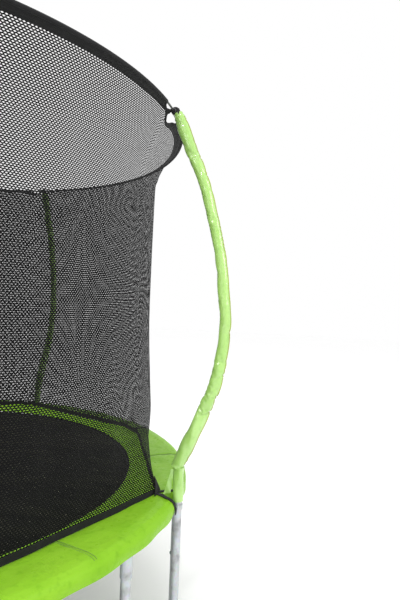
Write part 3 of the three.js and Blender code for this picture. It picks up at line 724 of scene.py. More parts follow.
def temporary(name, grid):
    """An object that only the cloth simulation uses."""
    mesh = bpy.data.meshes.new(name)
    quads = grid_quads(*grid.shape[:2], wrap_columns=True)
    mesh.from_pydata(grid.reshape(-1, 3).tolist(), [], quads.tolist())
    thing = bpy.data.objects.new(name, mesh)
    bpy.context.collection.objects.link(thing)
    return thing


def set_cloth(skin, stations, sides):
    """Makes the skin a cloth, held at both ends and longest on the inner side of the bow."""
    held = list(range(2 * sides)) + list(range((stations - 3) * sides, stations * sides))
    skin.vertex_groups.new(name="held").add(held, 1.0, "REPLACE")
    loose = skin.vertex_groups.new(name="loose")
    for column in range(sides):
        inward = (1 - math.cos(2 * math.pi * column / sides)) / 2
        loose.add(list(range(column, stations * sides, sides)), inward, "REPLACE")
    cloth = skin.modifiers.new("cloth", "CLOTH")
    settings = cloth.settings
    settings.vertex_group_mass = "held"
    settings.effector_weights.gravity = 0
    settings.vertex_group_shrink = "loose"
    settings.shrink_min, settings.shrink_max = (-growth for growth in SKIN_GROWTH)
    settings.use_pressure = True
    settings.uniform_pressure_force = SKIN_PRESSURE
    settings.bending_stiffness = SKIN_STIFFNESS
    settings.quality = 6
    cloth.collision_settings.distance_min = SKIN_GAP


def draped_skin(line, grid, core):
    """The skin's points after a cloth simulation. The skin is longer than its foam, most of all on the
    inner side of the bow, so it buckles into creases there. The foam keeps it off the pole."""
    skin, foam = temporary("skin", grid), temporary("foam", core)
    set_cloth(skin, *grid.shape[:2])
    foam.modifiers.new("foam", "COLLISION")
    foam.collision.thickness_outer = SKIN_GAP
    for step in range(1, CLOTH_FRAMES + 1):
        bpy.context.scene.frame_set(step)
    shaped = skin.evaluated_get(bpy.context.evaluated_depsgraph_get()).to_mesh()
    points = np.empty(grid.size, np.float32)
    shaped.vertices.foreach_get("co", points)
    for thing in (skin, foam):
        bpy.data.objects.remove(thing)
    bpy.context.scene.frame_set(1)
    away = points.reshape(grid.shape).astype(float) - line[:, None]
    reach = np.linalg.norm(away, axis=2, keepdims=True)
    return line[:, None] + away / reach * np.clip(reach, *SKIN_LIMITS)


def sleeve_line():
    """The middle of the sleeve: straight at its lower end, then along the bow and past the pole's head."""
    bowed = BOW[BOW[:, 2] > SLEEVE_STRAIGHT]
    start = bowed[0] - unit(bowed[3] - bowed[0]) * SLEEVE_OVERHANG
    return evenly(np.vstack((start, bowed, BOW[-1] + BOW_END * SLEEVE_PAST_POLE)), SLEEVE_STATIONS)


def make_sleeves():
    """The foam sleeve on each bowed pole, its seam, and the looser sleeve below the bend."""
    line = sleeve_line()
    reach = travelled(line)
    side, up = crosswise(line, ALONG_Y, False)
    spokes = side[:, None] * np.cos(SLEEVE_ANGLES)[:, None] + up[:, None] * np.sin(SLEEVE_ANGLES)[:, None]
    open_end = 1 - step_between(reach, 0.0, 0.012)[:, None]
    seam_column = round(SEAM_SIDE / FULL_TURN * SLEEVE_SIDES) % SLEEVE_SIDES
    for i, pole in enumerate(POLES):
        size = sleeve_radius(reach, SLEEVE_ANGLES, seed=11 + i) + SLEEVE_FLARE * open_end
        skin = line[:, None] + spokes * size[..., None]
        skin = draped_skin(line, skin, line[:, None] + spokes * FOAM_RADIUS)
        shape = Shape().add(with_lids(line, skin), wrap_columns=True).again([pole])
        upper = make_piece(f"sleeve_{i + 1}", shape, LIME, "sleeve_vinyl",
                           stands_for=[f"pole_sleeve_{i + 1}"], sharp=CLOTH_ANGLE)
        ridge = skin[:, seam_column] + spokes[:, seam_column] * 0.0006
        seam = Shape().tube(ridge[4:-4], SEAM, 8, ALONG_Y).again([pole])
        make_piece(f"sleeve_seam_{i + 1}", seam, PIPING, "sleeve_vinyl")
        make_lower_sleeve(i, pole)
        make_sleeve_flap(i, pole)


def make_lower_sleeve(i, pole):
    """The short sleeve from the bend down to the pad, loosely rumpled."""
    levels = np.linspace(*FOOT_LEVELS, 40)
    path = np.column_stack((np.full(40, POLE_RADIUS), np.zeros(40), levels))
    rng = np.random.default_rng(50 + i)
    size = np.full((40, SLEEVE_SIDES), FOOT_RADIUS)
    for _ in range(14):
        wave, turn, phase = rng.uniform(20, 90), rng.integers(1, 5), rng.uniform(*ANY_PHASE)
        size = size + 0.02 / wave * np.sin(wave * levels[:, None] + turn * SLEEVE_ANGLES + phase)
    size = np.maximum(size, FOAM_RADIUS) + FOOT_FLARE * step_between(levels, 0.905, FOOT_LEVELS[1])[:, None]
    shape = Shape().tube(path, size, SLEEVE_SIDES, ALONG_Y).again([pole])
    return make_piece(f"sleeve_foot_{i + 1}", shape, LIME, "sleeve_vinyl", sharp=CLOTH_ANGLE)


def make_sleeve_flap(i, pole):
    """The loose edge of the sleeve's lower end, which hangs beside the pole down to the pad."""
    t = np.linspace(0, 1, 30)[:, None]
    u = np.linspace(0, 1, 10)[None, :]
    spread = (0.010 + 0.020 * t**1.2) * u
    inward = POLE_RADIUS - 0.020 - 0.010 * t - 0.95 * spread
    sideways = -0.0135 - 0.30 * spread + 0.0022 * np.sin(11 * t + 5 * u) * t
    height = FLAP_TOP - FLAP_DROP * t + 0.004 * u - 0.008 * u * t
    front = np.stack((inward, sideways, height), -1)
    shape = Shape().slab(front, front - (FLAP_THICKNESS, 0, 0)).again([pole])
    flap = make_piece(f"sleeve_flap_{i + 1}", shape, LIME, "sleeve_vinyl", sharp=CLOTH_ANGLE)


# ---- Pole heads, ring and its ties ----
# The cap on a pole's head as (distance past the tube's end, radius).
CAP = (
    (-0.042, 0.0185), (-0.040, 0.0195), (-0.010, 0.0198), (0.012, 0.0195), (0.024, 0.0170), (0.030, 0.012),
    (0.032, 0.004),
)
CAP_RIB = 0.0006
CAP_EYE = 0.0098  # radius of the eyes that the ring passes through
CAP_EYE_BAR = 0.0038
CAP_EYE_STEP = 0.010
HEAD = np.array((RING_RADIUS + 0.010, 0, RING_HEIGHT - 0.001))  # the middle of a tie
TIE_LEAN = 0.9  # how steeply the tie's turns lean towards the pole
TIE_TURNS = ((-0.009, 0.0165), (-0.001, 0.0185), (0.008, 0.0160))  # (sideways, half of its length)
TIE_RISE = 0.0135
TIE_CORD = 0.0048
TIE_TAIL = ((0.006, -0.008, 0.010), (0.016, -0.018, 0.004), (0.015, -0.024, -0.018))  # from its middle
TIE_TAIL_CORD = 0.0036
JOINT = 1.57  # degrees that a rod's joint sleeve reaches to each side
JOINT_RADII = (0.0068, 0.0075, 0.0075, 0.0072, 0.0075, 0.0075, 0.0068)


def make_caps():
    """The moulded cap on each pole's head, with the eyes that the ring passes through, and its tie."""
    past, radii = np.array(CAP).T
    angle = 2 * math.pi * np.arange(48) / 48
    ribs = CAP_RIB * (np.cos(12 * angle) > 0.2)
    eye = around(CAP_EYE, np.arange(24) * 15.0)
    for i, pole in enumerate(POLES):
        cap = Shape().tube(BOW[-1] + BOW_END * past[:, None], radii[:, None] + ribs, 48, ALONG_Y)
        for side in (-1, 0, 1):
            sideways = np.full(24, side * CAP_EYE_STEP)
            ring = np.column_stack((RING_RADIUS + eye[:, 0], sideways, RING_HEIGHT + eye[:, 1]))
            cap.tube(ring, CAP_EYE_BAR, 10, ALONG_Y, closed=True)
        cap.again([pole])
        make_piece(f"cap_{i + 1}", cap, PLASTIC, "black_plastic", stands_for=[f"pole_cap_{i + 1}"])
        make_ring_tie(i, pole)


def make_ring_tie(i, pole):
    """Webbing wound round the pole's head and the ring: three turns over a hub, and a short tail."""
    tie = Shape()
    t = np.linspace(0, 2 * math.pi, 40, endpoint=False)
    for turn, (shift, wide) in enumerate(TIE_TURNS):
        across, upwards = wide * np.cos(t), TIE_RISE * np.sin(t)
        loop = np.column_stack((HEAD[0] + across * math.cos(TIE_LEAN) + upwards * math.sin(TIE_LEAN),
                                shift + 0.004 * np.sin(t + turn),
                                HEAD[2] - across * math.sin(TIE_LEAN) + upwards * math.cos(TIE_LEAN)))
        tie.tube(loop, TIE_CORD, 8, ALONG_Y, closed=True, flat=0.5)
    tie.tube(smooth_path([HEAD + place for place in TIE_TAIL], 16), TIE_TAIL_CORD, 8, ALONG_Y, flat=0.5)
    hub = smooth_path([BOW[-1] + (0.002, 0, 0.002), HEAD + (0.003, 0, 0), HEAD + (-0.014, 0, 0.001)], 16)
    lumps = 0.0125 * np.sin(np.linspace(0.3, 2.9, 16)) ** 0.5 + 0.0010 * np.sin(np.arange(16) * 1.9)
    tie.tube(hub, lumps, 14, ALONG_Y)
    make_piece(f"ring_tie_{i + 1}", tie.again([pole]), WEBBING, "webbing")


def make_ring():
    """The six fibreglass rods of the ring, each with the sleeve of its joint."""
    for i in range(RODS):
        start = ROD_START + i * FULL_TURN / RODS
        end = start + FULL_TURN / RODS
        rod = Shape().tube(around(RING_RADIUS, np.linspace(start + 0.02, end, 60), RING_HEIGHT), ROD, 12)
        joint = np.linspace(end - JOINT, end + JOINT, len(JOINT_RADII))
        rod.tube(around(RING_RADIUS, joint, RING_HEIGHT), JOINT_RADII, 16)
        make_piece(f"ring_rod_{i + 1}", rod, GLASS, "fibreglass", stands_for=[f"top_rod_{i + 1}"])


# ---- Net ----
PROFILE_POINTS = smooth_path([(r, 0, z) for r, z in NET_PROFILE], 400)
PROFILE_REACH = travelled(PROFILE_POINTS)
NET_LENGTH = PROFILE_REACH[-1]
PULL_LEVELS = (1.12, 0.80)  # between these heights the net goes over from its profile to its hem
PULL_FROM = 1.380
TUG = 0.003  # how far a pole's tie pulls the net out
NET_WIDTHS = 8
# The net's folds as (height, number in a turn, how they lean down the net).
NET_FOLDS = ((0.0028, 24, 0), (0.002, 41, 3))
NET_UNDER_BAND = 0.008
NET_SHORT = 0.004  # from the netting's lower end to the net's
ALONG_NET = 0.0232  # metres in a degree of netting
ON_NET = 0.002  # how far things that are sewn on the net stand off it
CELLS_MIDDLE = 1.33
BAND_FACES = (0.0022, 0.0006)  # how far the band's two faces stand off the net
BAND_ROLL = 0.0078  # radius of the band's fold round the ring
PIPE = 0.0034
CROSS_PIPE = 0.0030
CROSS_PIPE_SPAN = (-1.0, 5.0)  # degrees past a pole where a thinner piping crosses the hole
CROSS_PIPE_DEPTH = 0.013
STRIP = 0.0012  # half the thickness of webbing
HEM_RISE = 0.006  # from the net's lowest edge to the middle of the hem
HEM_HALF = 0.011
HEM_CORD = 0.0035
POLE_PATCH = (0.070, 0.040)  # how long a corner patch is and how far it spreads, at a pole
FREE_PATCH = (0.040, 0.022)  # and between poles
STRAP_HALF = 0.0095
OVER_PAD = 0.0035  # how far a strap's middle stands off the pad
STRAP_SPREAD = (0.012, 0.034)  # sideways from the corner where it starts, and what it gains over the pad
STRAP_FOOT = (0.764, 0.738)  # heights where it turns down and where it ends
DOOR_GAP = 0.12  # degrees between the door's netting and the doorway
HINGE_HEIGHT = 1.4
HINGE_RADIUS = 1.335
HINGE_SPAN = 2.6  # degrees over which the netting goes from the sewn edge to the moving door
BINDING_INSET = 0.014
BINDING_SIDES = (0.6, 0.55)  # degrees in from the doorway's two sides
BINDING_HALF = 0.0110
TAPE_OUTSET = 0.013
TAPE_SIDES = (0.1, 0.62)
TAPE_PAST = 0.4  # degrees that the level tapes go past the upright ones
TAPE_RISE = 0.020  # how far the upright tapes go past the door
TAPE_HALF = 0.0125
TEETH = 330
TEETH_LEVELS = (1.985, 0.895)
TEETH_SIDE = 0.13  # degrees past the door
TEETH_STAGGER = 0.035
TOOTH = (0.0015, 0.0018)  # half its length, and its radius


def hem_radius(degrees):
    """How far out the net's bottom edge is: straight between the corners where it is tied down."""
    past = np.asarray(degrees, float) % QUARTER
    radius = np.zeros_like(past)
    for (a, first), (b, last) in zip(HEM_CORNERS, HEM_CORNERS[1:]):
        apart = math.sin(math.radians(b - a))
        from_a, to_b = np.sin(np.radians(past - a)), np.sin(np.radians(b - past))
        chord = first * last * apart / np.maximum(first * from_a + last * to_b, 1e-6)
        radius = np.where((past >= a) & (past <= b), chord, radius)
    return radius


def past_pole(degrees):
    """Degrees past the nearest pole, negative before it."""
    return (degrees + QUARTER / 2) % QUARTER - QUARTER / 2


def net_surface(down, degrees, lift=0.0):
    """Where the net is, this far down from the ring along it. lift moves it outward."""
    radius = np.interp(down, PROFILE_REACH, PROFILE_POINTS[:, 0])
    height = np.interp(down, PROFILE_REACH, PROFILE_POINTS[:, 2])
    pulled = step_between(-height, -PULL_LEVELS[0], -PULL_LEVELS[1])
    radius = radius + (hem_radius(degrees) - PULL_FROM) * pulled
    folds = sum(high * np.sin(np.radians(degrees * count) + lean * height) for high, count, lean in NET_FOLDS)
    slack = step_between(down, 0.10, 0.45) * (1 - 0.6 * pulled)
    tug = TUG * np.exp(-(past_pole(degrees) / 3.0) ** 2) * step_between(-down, -0.35, -0.05)
    return around(radius + folds * slack + tug + lift, degrees, height)


def band_edge(table, degrees):
    """How far down an edge of the band is."""
    return np.interp(past_pole(degrees), *np.array(table).T)


def fine_directions(start, end, coarse=0.75, fine=0.08, reach=6.0):
    """Directions from start to end, closer together near the poles."""
    steps = [start]
    while steps[-1] < end - 1e-6:
        step = fine if abs(past_pole(steps[-1])) < reach else coarse
        steps.append(min(steps[-1] + step, end))
    return np.array(steps)


def make_band():
    """The black band that holds the net to the ring, in four lengths, with the piping round its holes."""
    share = np.linspace(0, 1, 7)[None, :]
    for i, pole in enumerate(POLES):
        degrees = fine_directions(pole - QUARTER / 2, pole + QUARTER / 2)[:, None]
        top, bottom = band_edge(BAND_TOP, degrees), band_edge(BAND_BOTTOM, degrees)
        down = top + (bottom - top) * share
        shape = Shape().slab(*(net_surface(down, degrees, lift) for lift in BAND_FACES))
        gap = (pole + BAND_TOP[0][0], pole + BAND_TOP[-1][0])
        for side in (degrees[degrees < gap[0]], degrees[degrees > gap[1]]):
            shape.tube(around(RING_RADIUS, side, RING_HEIGHT), BAND_ROLL, 12)
        band = make_piece(f"ring_band_{i + 1}", shape, WEBBING, "webbing", sharp=BAND_ANGLE)
        edge = np.linspace(gap[0] - 0.4, gap[1] + 0.4, 140)
        piping = Shape().tube(net_surface(band_edge(BAND_TOP, edge), edge, ON_NET), PIPE, 8)
        across = pole + np.linspace(*CROSS_PIPE_SPAN, 40)
        piping.tube(net_surface(np.full(40, CROSS_PIPE_DEPTH), across, ON_NET), CROSS_PIPE, 8)
        make_piece(f"ring_piping_{i + 1}", piping, WEBBING, "webbing")


def netting(start, end, top, bottom):
    """A sheet of diamond holes in staggered rows. Its edges are given as functions of direction."""
    columns = int(round(math.radians(end - start) * CELLS_MIDDLE / CELL_WIDTH))
    ends = np.array([start, end])
    rows = int(round(float(np.mean(bottom(ends) - top(ends))) / CELL_HEIGHT))
    row, column = np.meshgrid(np.arange(rows), np.arange(columns), indexing="ij")
    left = np.clip(column + row % 2 * 0.5, 0, columns - 0.5)
    width = np.minimum(columns - left, 1.0)
    first = (row % 2 == 1) & (column == 0)
    left, width = np.where(first, 0.0, left), np.where(first, 1.5, width)
    wide, tall = HOLE_SHARE
    outline = [(-1, -1), (1, -1), (1, 1), (-1, 1)]
    hole = [(0, -tall), (wide, 0), (0, tall), (-wide, 0)]
    points = []
    for x, y in outline + hole:
        degrees = start + (end - start) * (left + width / 2 * (1 + x)) / columns
        share = (row + 0.5 + 0.5 * y) / rows
        points.append(net_surface(top(degrees) + (bottom(degrees) - top(degrees)) * share, degrees))
    points = np.stack(points, 2).reshape(-1, 8, 3)
    cell = np.array(((0, 1, 4, 7), (1, 2, 5, 4), (2, 3, 6, 5), (3, 0, 7, 6)))
    quads = cell[None] + 8 * np.arange(len(points))[:, None, None]
    return points.reshape(-1, 3), quads, points.mean(1)


def in_door(points):
    degrees = np.degrees(np.arctan2(points[:, 1], points[:, 0])) % FULL_TURN
    inside = (degrees > DOOR[0]) & (degrees < DOOR[1])
    return inside & (points[:, 2] > DOOR_HEIGHT[0]) & (points[:, 2] < DOOR_HEIGHT[1])


def net_piece(name, points, quads, **facts):
    """A piece of netting, which keeps its place round and up the net for its look."""
    round_net = np.degrees(np.arctan2(points[:, 1], points[:, 0])) * ALONG_NET
    place = np.column_stack((round_net, points[:, 2], np.zeros(len(points))))
    shape = Shape().add(points[:, None], quads=quads.reshape(-1, 4), place=place)
    return make_piece(name, shape, THREAD, "netting", sharp=ALL_SMOOTH, **facts)


def make_net():
    """Eight widths of netting, from the band to the hem, with the doorway left open."""
    turn = FULL_TURN // NET_WIDTHS
    for i in range(NET_WIDTHS):
        points, quads, middles = netting(i * turn, (i + 1) * turn,
                                         lambda d: band_edge(BAND_BOTTOM, d) - NET_UNDER_BAND,
                                         lambda d: NET_LENGTH - NET_SHORT + 0 * d)
        gone = in_door(middles)
        piece = net_piece(f"net_{i + 1}", points, quads[~gone], stands_for=[f"net_panel_{i // 2 + 1}"])


def down_at(height):
    """How far down the net a height is."""
    return np.interp(-height, -PROFILE_POINTS[:, 2], PROFILE_REACH)


def tape(shape, path, outward, half_width):
    """A flat strip along a path, facing outward."""
    outward = unit(outward)
    across = unit(np.cross(np.gradient(path, axis=0), outward))
    u = np.linspace(-1, 1, 5)[None, :, None] * np.asarray(half_width, float).reshape(-1, 1, 1)
    front = path[:, None] + across[:, None] * u + outward[:, None] * STRIP
    shape.slab(front, front - outward[:, None] * 2 * STRIP)


def net_strip(shape, down, degrees, half_width):
    """A strip on the net, along a line of points that lie this far down and in these directions."""
    path = net_surface(*np.broadcast_arrays(down, degrees), ON_NET)
    tape(shape, path, path * (1, 1, 0), half_width)


def make_hem():
    """The webbing at the net's bottom edge with its cord, and the ties at its corners."""
    degrees = np.arange(0.0, FULL_TURN)
    path = net_surface(np.full(FULL_TURN, NET_LENGTH - HEM_RISE), degrees)
    outward = unit(path * (1, 1, 0))
    u = np.linspace(-1, 1, 4)[None, :, None]
    front = path[:, None] + np.array((0, 0, HEM_HALF)) * u + outward[:, None] * 1.5 * STRIP
    hem = Shape().slab(front, front - outward[:, None] * 3 * STRIP, wrap_rows=True)
    hem.tube(path - (0, 0, 0.010), HEM_CORD, 8, closed=True)
    piece = make_piece("net_hem", hem, WEBBING, "webbing")
    for i, corner in enumerate(range(0, FULL_TURN, QUARTER // 2)):
        make_hem_tie(i, corner)


def pad_top(radius):
    """The height of the pad's upper face."""
    return np.interp(radius, PAD_TOP[:, 0], PAD_TOP[:, 1])


def make_hem_tie(i, corner):
    """A corner patch, and two straps at a pole or one between poles, over the pad to the frame.

    The patch is made at its corner and then turned there once more with the straps, so it ends up
    at twice the corner's direction, which is always at a pole. This is a fault; the straps are right.
    """
    at_pole = corner % QUARTER == 0
    shape = Shape()
    share = np.linspace(0, 1, 12)
    length, wide = POLE_PATCH if at_pole else FREE_PATCH
    patch = net_surface(NET_LENGTH - length * (1 - share), np.full(12, float(corner)), 0.0045)
    tape(shape, patch, patch * (1, 1, 0), 0.003 + wide * share**1.3)
    tied_at = float(hem_radius(corner))
    reach = np.linspace(tied_at - 0.004, PAD_OUTER + OVER_PAD, 30)
    for side in (-1, 1) if at_pole else (0,):
        spread = side * (STRAP_SPREAD[0] + STRAP_SPREAD[1] * step_between(reach, tied_at, 1.52))
        over = np.column_stack((reach, spread, pad_top(reach) + OVER_PAD))
        foot = np.column_stack((np.full(6, reach[-1]), np.full(6, spread[-1]), np.linspace(*STRAP_FOOT, 6)))
        path = evenly(np.vstack((over, foot)), 46)
        tape(shape, path, -np.cross(np.gradient(path, axis=0), ALONG_Y), STRAP_HALF)
    make_piece(f"hem_tie_{i + 1}", shape.again([corner]), WEBBING, "webbing")


def swing_door(piece):
    """Works out where the door's hinge starts and ends, which nothing uses, and bakes the piece's place into
    its mesh.
    """
    start, end = (around(HINGE_RADIUS, DOOR[0] + past, HINGE_HEIGHT) for past in (0, HINGE_SPAN))
    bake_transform(piece)


def door_strips(levels, across, uprights, columns, half_width):
    """Strips along the top and bottom of the door, and up it in each of the columns."""
    shape = Shape()
    for down in levels:
        net_strip(shape, down, across, half_width)
    for column in columns:
        net_strip(shape, np.linspace(*uprights, 90), column, half_width)
    return shape


def make_door():
    """The door's netting, its binding, and the tapes round the doorway."""
    top, bottom = down_at(DOOR_HEIGHT[1]), down_at(DOOR_HEIGHT[0])
    points, quads, _ = netting(DOOR[0] + DOOR_GAP, DOOR[1] - DOOR_GAP, lambda d: top + 0.003 + 0 * d,
                               lambda d: bottom - 0.003 + 0 * d)
    flap = net_piece("door_netting", points, quads, body=None, stands_for=["door_flap"])
    swing_door(flap)
    inside = (top + BINDING_INSET, bottom - BINDING_INSET)
    left, right = DOOR[0] + BINDING_SIDES[0], DOOR[1] - BINDING_SIDES[1]
    binding = door_strips(inside, np.linspace(left, right, 40), inside, [right], BINDING_HALF)
    swing_door(make_piece("door_binding", binding, WEBBING, "webbing", body=None))
    left, right = DOOR[0] - TAPE_SIDES[0], DOOR[1] + TAPE_SIDES[1]
    across = np.linspace(left - TAPE_PAST, right + TAPE_PAST, 44)
    tapes = door_strips((top - TAPE_OUTSET, bottom + TAPE_OUTSET), across,
                        (top - TAPE_RISE, bottom + TAPE_RISE), (left, right), TAPE_HALF)
    make_piece("door_tape", tapes, WEBBING, "webbing")


def make_zip():
    """The teeth on the doorway's tape, which stay on the frame. The slider and pull keep their CAD shape."""
    teeth = Shape()
    for k, down in enumerate(np.linspace(*(down_at(level) for level in TEETH_LEVELS), TEETH)):
        at = DOOR[1] + TEETH_SIDE + TEETH_STAGGER * (1 if k % 2 else -1)
        centre = net_surface(down, at, 0.0035)
        half = around(TOOTH[0], at)
        teeth.tube([centre - half, centre + half], TOOTH[1], 6)
    make_piece("zip_teeth", teeth, PLASTIC, "black_plastic")
    for name in ("zip_slider", "zip_pull"):
        keep_cad_shape(name, ZIP, 0.0006)


# ---- Mat and springs ----
SECTORS = 12
MAT_CLOTH = 0.0018
MAT_HEM = 0.050  # width of the webbing round the mat
STITCH_ROWS = (0.006, 0.024, 0.044)  # how far in from the mat's edge
MAT_THREAD = 0.0006
COIL_TURNS = 30
COIL_STEPS = 9  # points in a turn
COIL = 0.0072
WIRE = 0.0015
SPRING_HEIGHT = MAT_TOP - 0.003
COIL_ENDS = (SPRING_INNER + 0.020, SPRING_OUTER - 0.028)
# A spring's two hooks as (distance from its end, height above its axis).
INNER_HOOK = ((0.004, -0.004), (-0.002, 0), (0.003, 0.005), (0.012, 0.003))
OUTER_HOOK = ((-0.016, 0.003), (-0.004, 0.004), (0.002, -0.001), (0.001, -0.010))
TRIANGLE = ((SPRING_INNER + 0.001, 0), (MAT_RADIUS - 0.004, -0.018), (MAT_RADIUS - 0.004, 0.018))
TRIANGLE_WIRE = 0.0016


def make_mat():
    """The mat in wedges, each left without a body and with its place baked into its mesh; the point on each
    wedge's rim is worked out but not used.
    """
    half = FULL_TURN / 2 / SECTORS
    radius = (MAT_RADIUS * np.linspace(0.0005, 1, 40) ** 0.9)[:, None]
    hem = step_between(radius, MAT_RADIUS - MAT_HEM - 0.002, MAT_RADIUS - MAT_HEM)
    for i in range(SECTORS):
        middle = i * FULL_TURN / SECTORS
        degrees = np.linspace(middle - half, middle + half, 11)[None, :]
        top = MAT_TOP - 0.0014 + 0.0012 * hem
        bottom = top - MAT_CLOTH - 0.0006 * hem
        shape = Shape().slab(around(radius, degrees, top), around(radius, degrees, bottom))
        piece = make_piece(f"mat_{i + 1}", shape, MAT, "mat_weave", body=None, stands_for=["jumping_mat"])
        rim = tuple(around(MAT_RADIUS, middle, MAT_TOP))
        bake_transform(piece)


def make_mat_edge():
    """The webbing sewn round the mat and its rows of stitches."""
    degrees = np.arange(0, FULL_TURN, 1.0)[:, None]
    radius = np.linspace(MAT_RADIUS - MAT_HEM, MAT_RADIUS, 6)[None, :]
    top = MAT_TOP - 0.0001
    faces = (around(radius, degrees, top - under) for under in (0, 3 * STRIP))
    edge = Shape().slab(*faces, wrap_rows=True)
    make_piece("mat_webbing", edge, WEBBING, "webbing")
    rows = Shape()
    degrees = np.arange(0, FULL_TURN, 0.5)
    for inset in STITCH_ROWS:
        rows.tube(around(MAT_RADIUS - inset, degrees, MAT_TOP), MAT_THREAD, 6, closed=True)
    make_piece("mat_stitches", rows, BLACK_STITCH, "webbing")


def make_springs():
    """Sixty coil springs with their hooks, each in a wire triangle at the mat's edge."""
    t = np.linspace(0, 1, COIL_TURNS * COIL_STEPS)
    spin = 2 * math.pi * COIL_TURNS * t
    out = COIL_ENDS[0] + (COIL_ENDS[1] - COIL_ENDS[0]) * t
    coil = np.column_stack((out, COIL * np.cos(spin), SPRING_HEIGHT + COIL * np.sin(spin)))
    inner, outer = (smooth_path([(end + x, 0, SPRING_HEIGHT + z) for x, z in hook], 14)
                    for end, hook in ((SPRING_INNER, INNER_HOOK), (SPRING_OUTER, OUTER_HOOK)))
    spring = Shape().tube(np.vstack((inner, coil, outer)), WIRE, 5, (0.31, 0.17, 0.93))
    triangle = []
    for a, b in zip(TRIANGLE, TRIANGLE[1:] + TRIANGLE[:1]):
        for share in (0.06, 0.5, 0.94):
            triangle.append((a[0] + (b[0] - a[0]) * share, a[1] + (b[1] - a[1]) * share, SPRING_HEIGHT))
    spring.tube(triangle, TRIANGLE_WIRE, 6, closed=True)
    spring.again((np.arange(SPRINGS) + 0.5) * FULL_TURN / SPRINGS)
    make_piece("springs", spring, SPRING, "spring_steel", stands_for=["spring_set"], sharp=ALL_SMOOTH)


# ---- Spring pad ----
# The pad's upper face as (distance from the middle, height), crowned and turned down over the frame.
PAD_TOP = np.array(((PAD_INNER, 0.774), (1.262, 0.782), (1.285, 0.7865), (1.34, 0.7905), (1.42, 0.7965),
                    (1.49, 0.8005), (1.52, 0.797), (1.538, 0.787), (1.548, 0.772), (1.5505, 0.758)))
PAD_LIP = ((1.550, 0.745), (1.549, 0.736), (1.545, 0.7355), (1.5415, 0.745))
PAD_UNDER = ((1.538, 0.768), (1.528, 0.7825), (1.48, 0.7815), (1.40, 0.7765), (1.30, 0.770), (1.262, 0.767))
PAD_WIDEST = 1.5505
PAD_NOTCH_FROM = 1.45  # the notches squeeze only what lies outside this radius
PAD_SEAMS = 8
SEAM_TURN = FULL_TURN / PAD_SEAMS
SEAM_DEPTH = 0.0045
SEAM_WIDTH = 0.28  # degrees
EDGE_SEAM_DEPTH = 0.0022
EDGE_SEAMS = ((1.268, 0.0035, 1.0), (1.532, 0.003, 0.7))  # (distance, width, share of its depth)
PUCKER = 0.010  # a pucker's height times its wave number, about
PUCKERS = 24
SKIRT_WAVE = 0.003
PAD_THREAD = 0.0008
# An elastic loop from the pad's skirt to under the frame, as (distance from the middle, height).
ELASTIC = ((1.543, 0.745), (1.540, 0.733), (1.520, 0.735), (1.506, 0.7385), (1.492, 0.744))


def notched(radius, degrees):
    """The pad's distances from the middle, drawn in where its edge is cut out round a pole."""
    sideways = np.abs(PAD_OUTER * np.sin(np.radians(past_pole(degrees))))
    cut = np.sqrt(np.clip(PAD_NOTCH**2 - sideways**2, 0, None))
    limit = np.where(sideways < PAD_NOTCH, POLE_RADIUS - cut, PAD_WIDEST)[:, None]
    share = np.clip((radius - PAD_NOTCH_FROM) / (PAD_WIDEST - PAD_NOTCH_FROM), 0, 1)
    drawn_in = PAD_NOTCH_FROM + share * (np.minimum(limit, PAD_WIDEST) - PAD_NOTCH_FROM)
    return np.where(radius > PAD_NOTCH_FROM, drawn_in, radius)


def make_pad():
    """The foam ring in its vinyl cover, notched round each pole, with puckers along its seams."""
    degrees = fine_directions(0, FULL_TURN, coarse=0.6, fine=0.1, reach=2.2)[:-1]
    section = np.vstack((PAD_TOP, PAD_LIP, PAD_UNDER))
    section = evenly(np.vstack((section, section[:1])), 97)[:-1]
    radius = notched(np.broadcast_to(section[:, 0], (len(degrees), len(section))), degrees)
    height = section[None, :, 1]
    crown = step_between(height, 0.772, 0.786)
    rng = np.random.default_rng(5)
    angle = np.radians(degrees)[:, None]
    for _ in range(PUCKERS):
        wave, phase, lean = rng.integers(8, 70), rng.uniform(*ANY_PHASE), rng.uniform(-9, 9)
        height = height + crown * PUCKER / (wave + 12) * np.sin(wave * angle + lean * radius * 8 + phase)
    from_seam = np.abs(degrees[:, None] % SEAM_TURN - SEAM_TURN / 2)
    height = height - crown * SEAM_DEPTH * np.exp(-(from_seam / SEAM_WIDTH) ** 2)
    for at, width, share in EDGE_SEAMS:
        height = height - crown * EDGE_SEAM_DEPTH * share * np.exp(-((radius - at) / width) ** 2)
    skirt = step_between(-height, -0.765, -0.74) * (radius > 1.53)
    radius = radius + skirt * SKIRT_WAVE * np.sin(angle * 46 + np.sin(angle * 9))
    shape = Shape().add(around(radius, degrees[:, None], height), wrap_rows=True, wrap_columns=True)
    pad = make_piece("pad", shape, GREEN, "pad_vinyl", stands_for=["safety_pad"], sharp=BAND_ANGLE)
    make_pad_stitches()
    make_pad_elastics()


def make_pad_stitches():
    """The stitches along the pad's inner edge and in a pair of rows across each of its seams."""
    inner = EDGE_SEAMS[0][0]
    directions = np.arange(0, FULL_TURN, 0.5)
    rows = Shape().tube(around(inner, directions, pad_top(inner) - 0.0008), PAD_THREAD, 6, closed=True)
    radius = np.linspace(1.275, 1.53, 40)
    for i in range(PAD_SEAMS):
        for offset in (-0.22, 0.22):
            at = SEAM_TURN * (i + 0.5) + offset
            rows.tube(around(radius, at, pad_top(radius) - 0.0012), PAD_THREAD, 6)
    make_piece("pad_stitches", rows, GREEN_STITCH, "pad_vinyl")


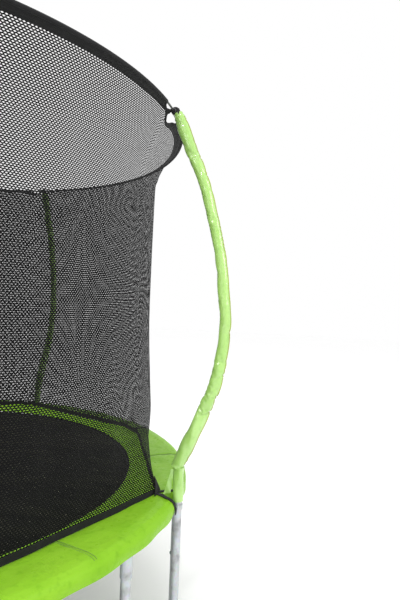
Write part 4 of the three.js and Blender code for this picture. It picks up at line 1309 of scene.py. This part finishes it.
def make_pad_elastics():
    """Elastic loops that hold the pad's skirt to the frame."""
    path = smooth_path([(r, 0, z) for r, z in ELASTIC], 24)
    loop = Shape()
    tape(loop, path, np.cross(np.gradient(path, axis=0), ALONG_Y), 0.008)
    loop.again(np.arange(11.25, FULL_TURN, 22.5))
    make_piece("pad_elastics", loop, WEBBING, "webbing")


# ---- Stage ----
FLOOR = 30  # from the middle to the floor's edge
LIGHTS_FACE = Vector((0.3, 0, 1.2))
# Each lamp's name, place, size and power. The small one makes the glints on the sleeves' creases.
LIGHTS = (
    ("key", (-1.5, -6.0, 5.5), 3.0, 260), ("side", (6.5, -1.0, 4.0), 2.5, 120),
    ("top", (0.0, 0.5, 6.5), 4.0, 120), ("spark", (2.3, -3.4, 5.6), 0.35, 45),
)


def make_floor():
    look = Look("floor", 0.9)
    look.colour(look.mix(look.noise(0.8, 2.0), (0.985, 0.985, 0.985, 1), (0.995, 0.995, 0.995, 1)))
    mesh = bpy.data.meshes.new("floor")
    corners = [(-FLOOR, -FLOOR, 0), (FLOOR, -FLOOR, 0), (FLOOR, FLOOR, 0), (-FLOOR, FLOOR, 0)]
    mesh.from_pydata(corners, [], [(0, 1, 2, 3)])
    mesh.materials.append(look.material)
    floor = bpy.data.objects.new("floor", mesh)
    bpy.context.collection.objects.link(floor)


def make_lights():
    """A white studio with four lamps that face the net."""
    scene = bpy.context.scene
    scene.view_settings.view_transform = "Standard"
    scene.world = bpy.data.worlds.new("studio")
    scene.world.use_nodes = True
    background = scene.world.node_tree.nodes["Background"]
    background.inputs["Color"].default_value = (1, 1, 1, 1)
    background.inputs["Strength"].default_value = 1.0
    for name, place, size, power in LIGHTS:
        data = bpy.data.lights.new(name, "AREA")
        data.size, data.energy = size, power
        light = bpy.data.objects.new(name, data)
        bpy.context.collection.objects.link(light)
        light.location = place
        light.rotation_euler = (LIGHTS_FACE - Vector(place)).to_track_quat("-Z", "Y").to_euler()


make_rails()
make_legs()
make_poles()
make_sleeves()
make_caps()
make_ring()
make_band()
make_net()
make_hem()
make_door()
make_zip()
make_mat()
make_mat_edge()
make_springs()
make_pad()
make_floor()
make_lights()
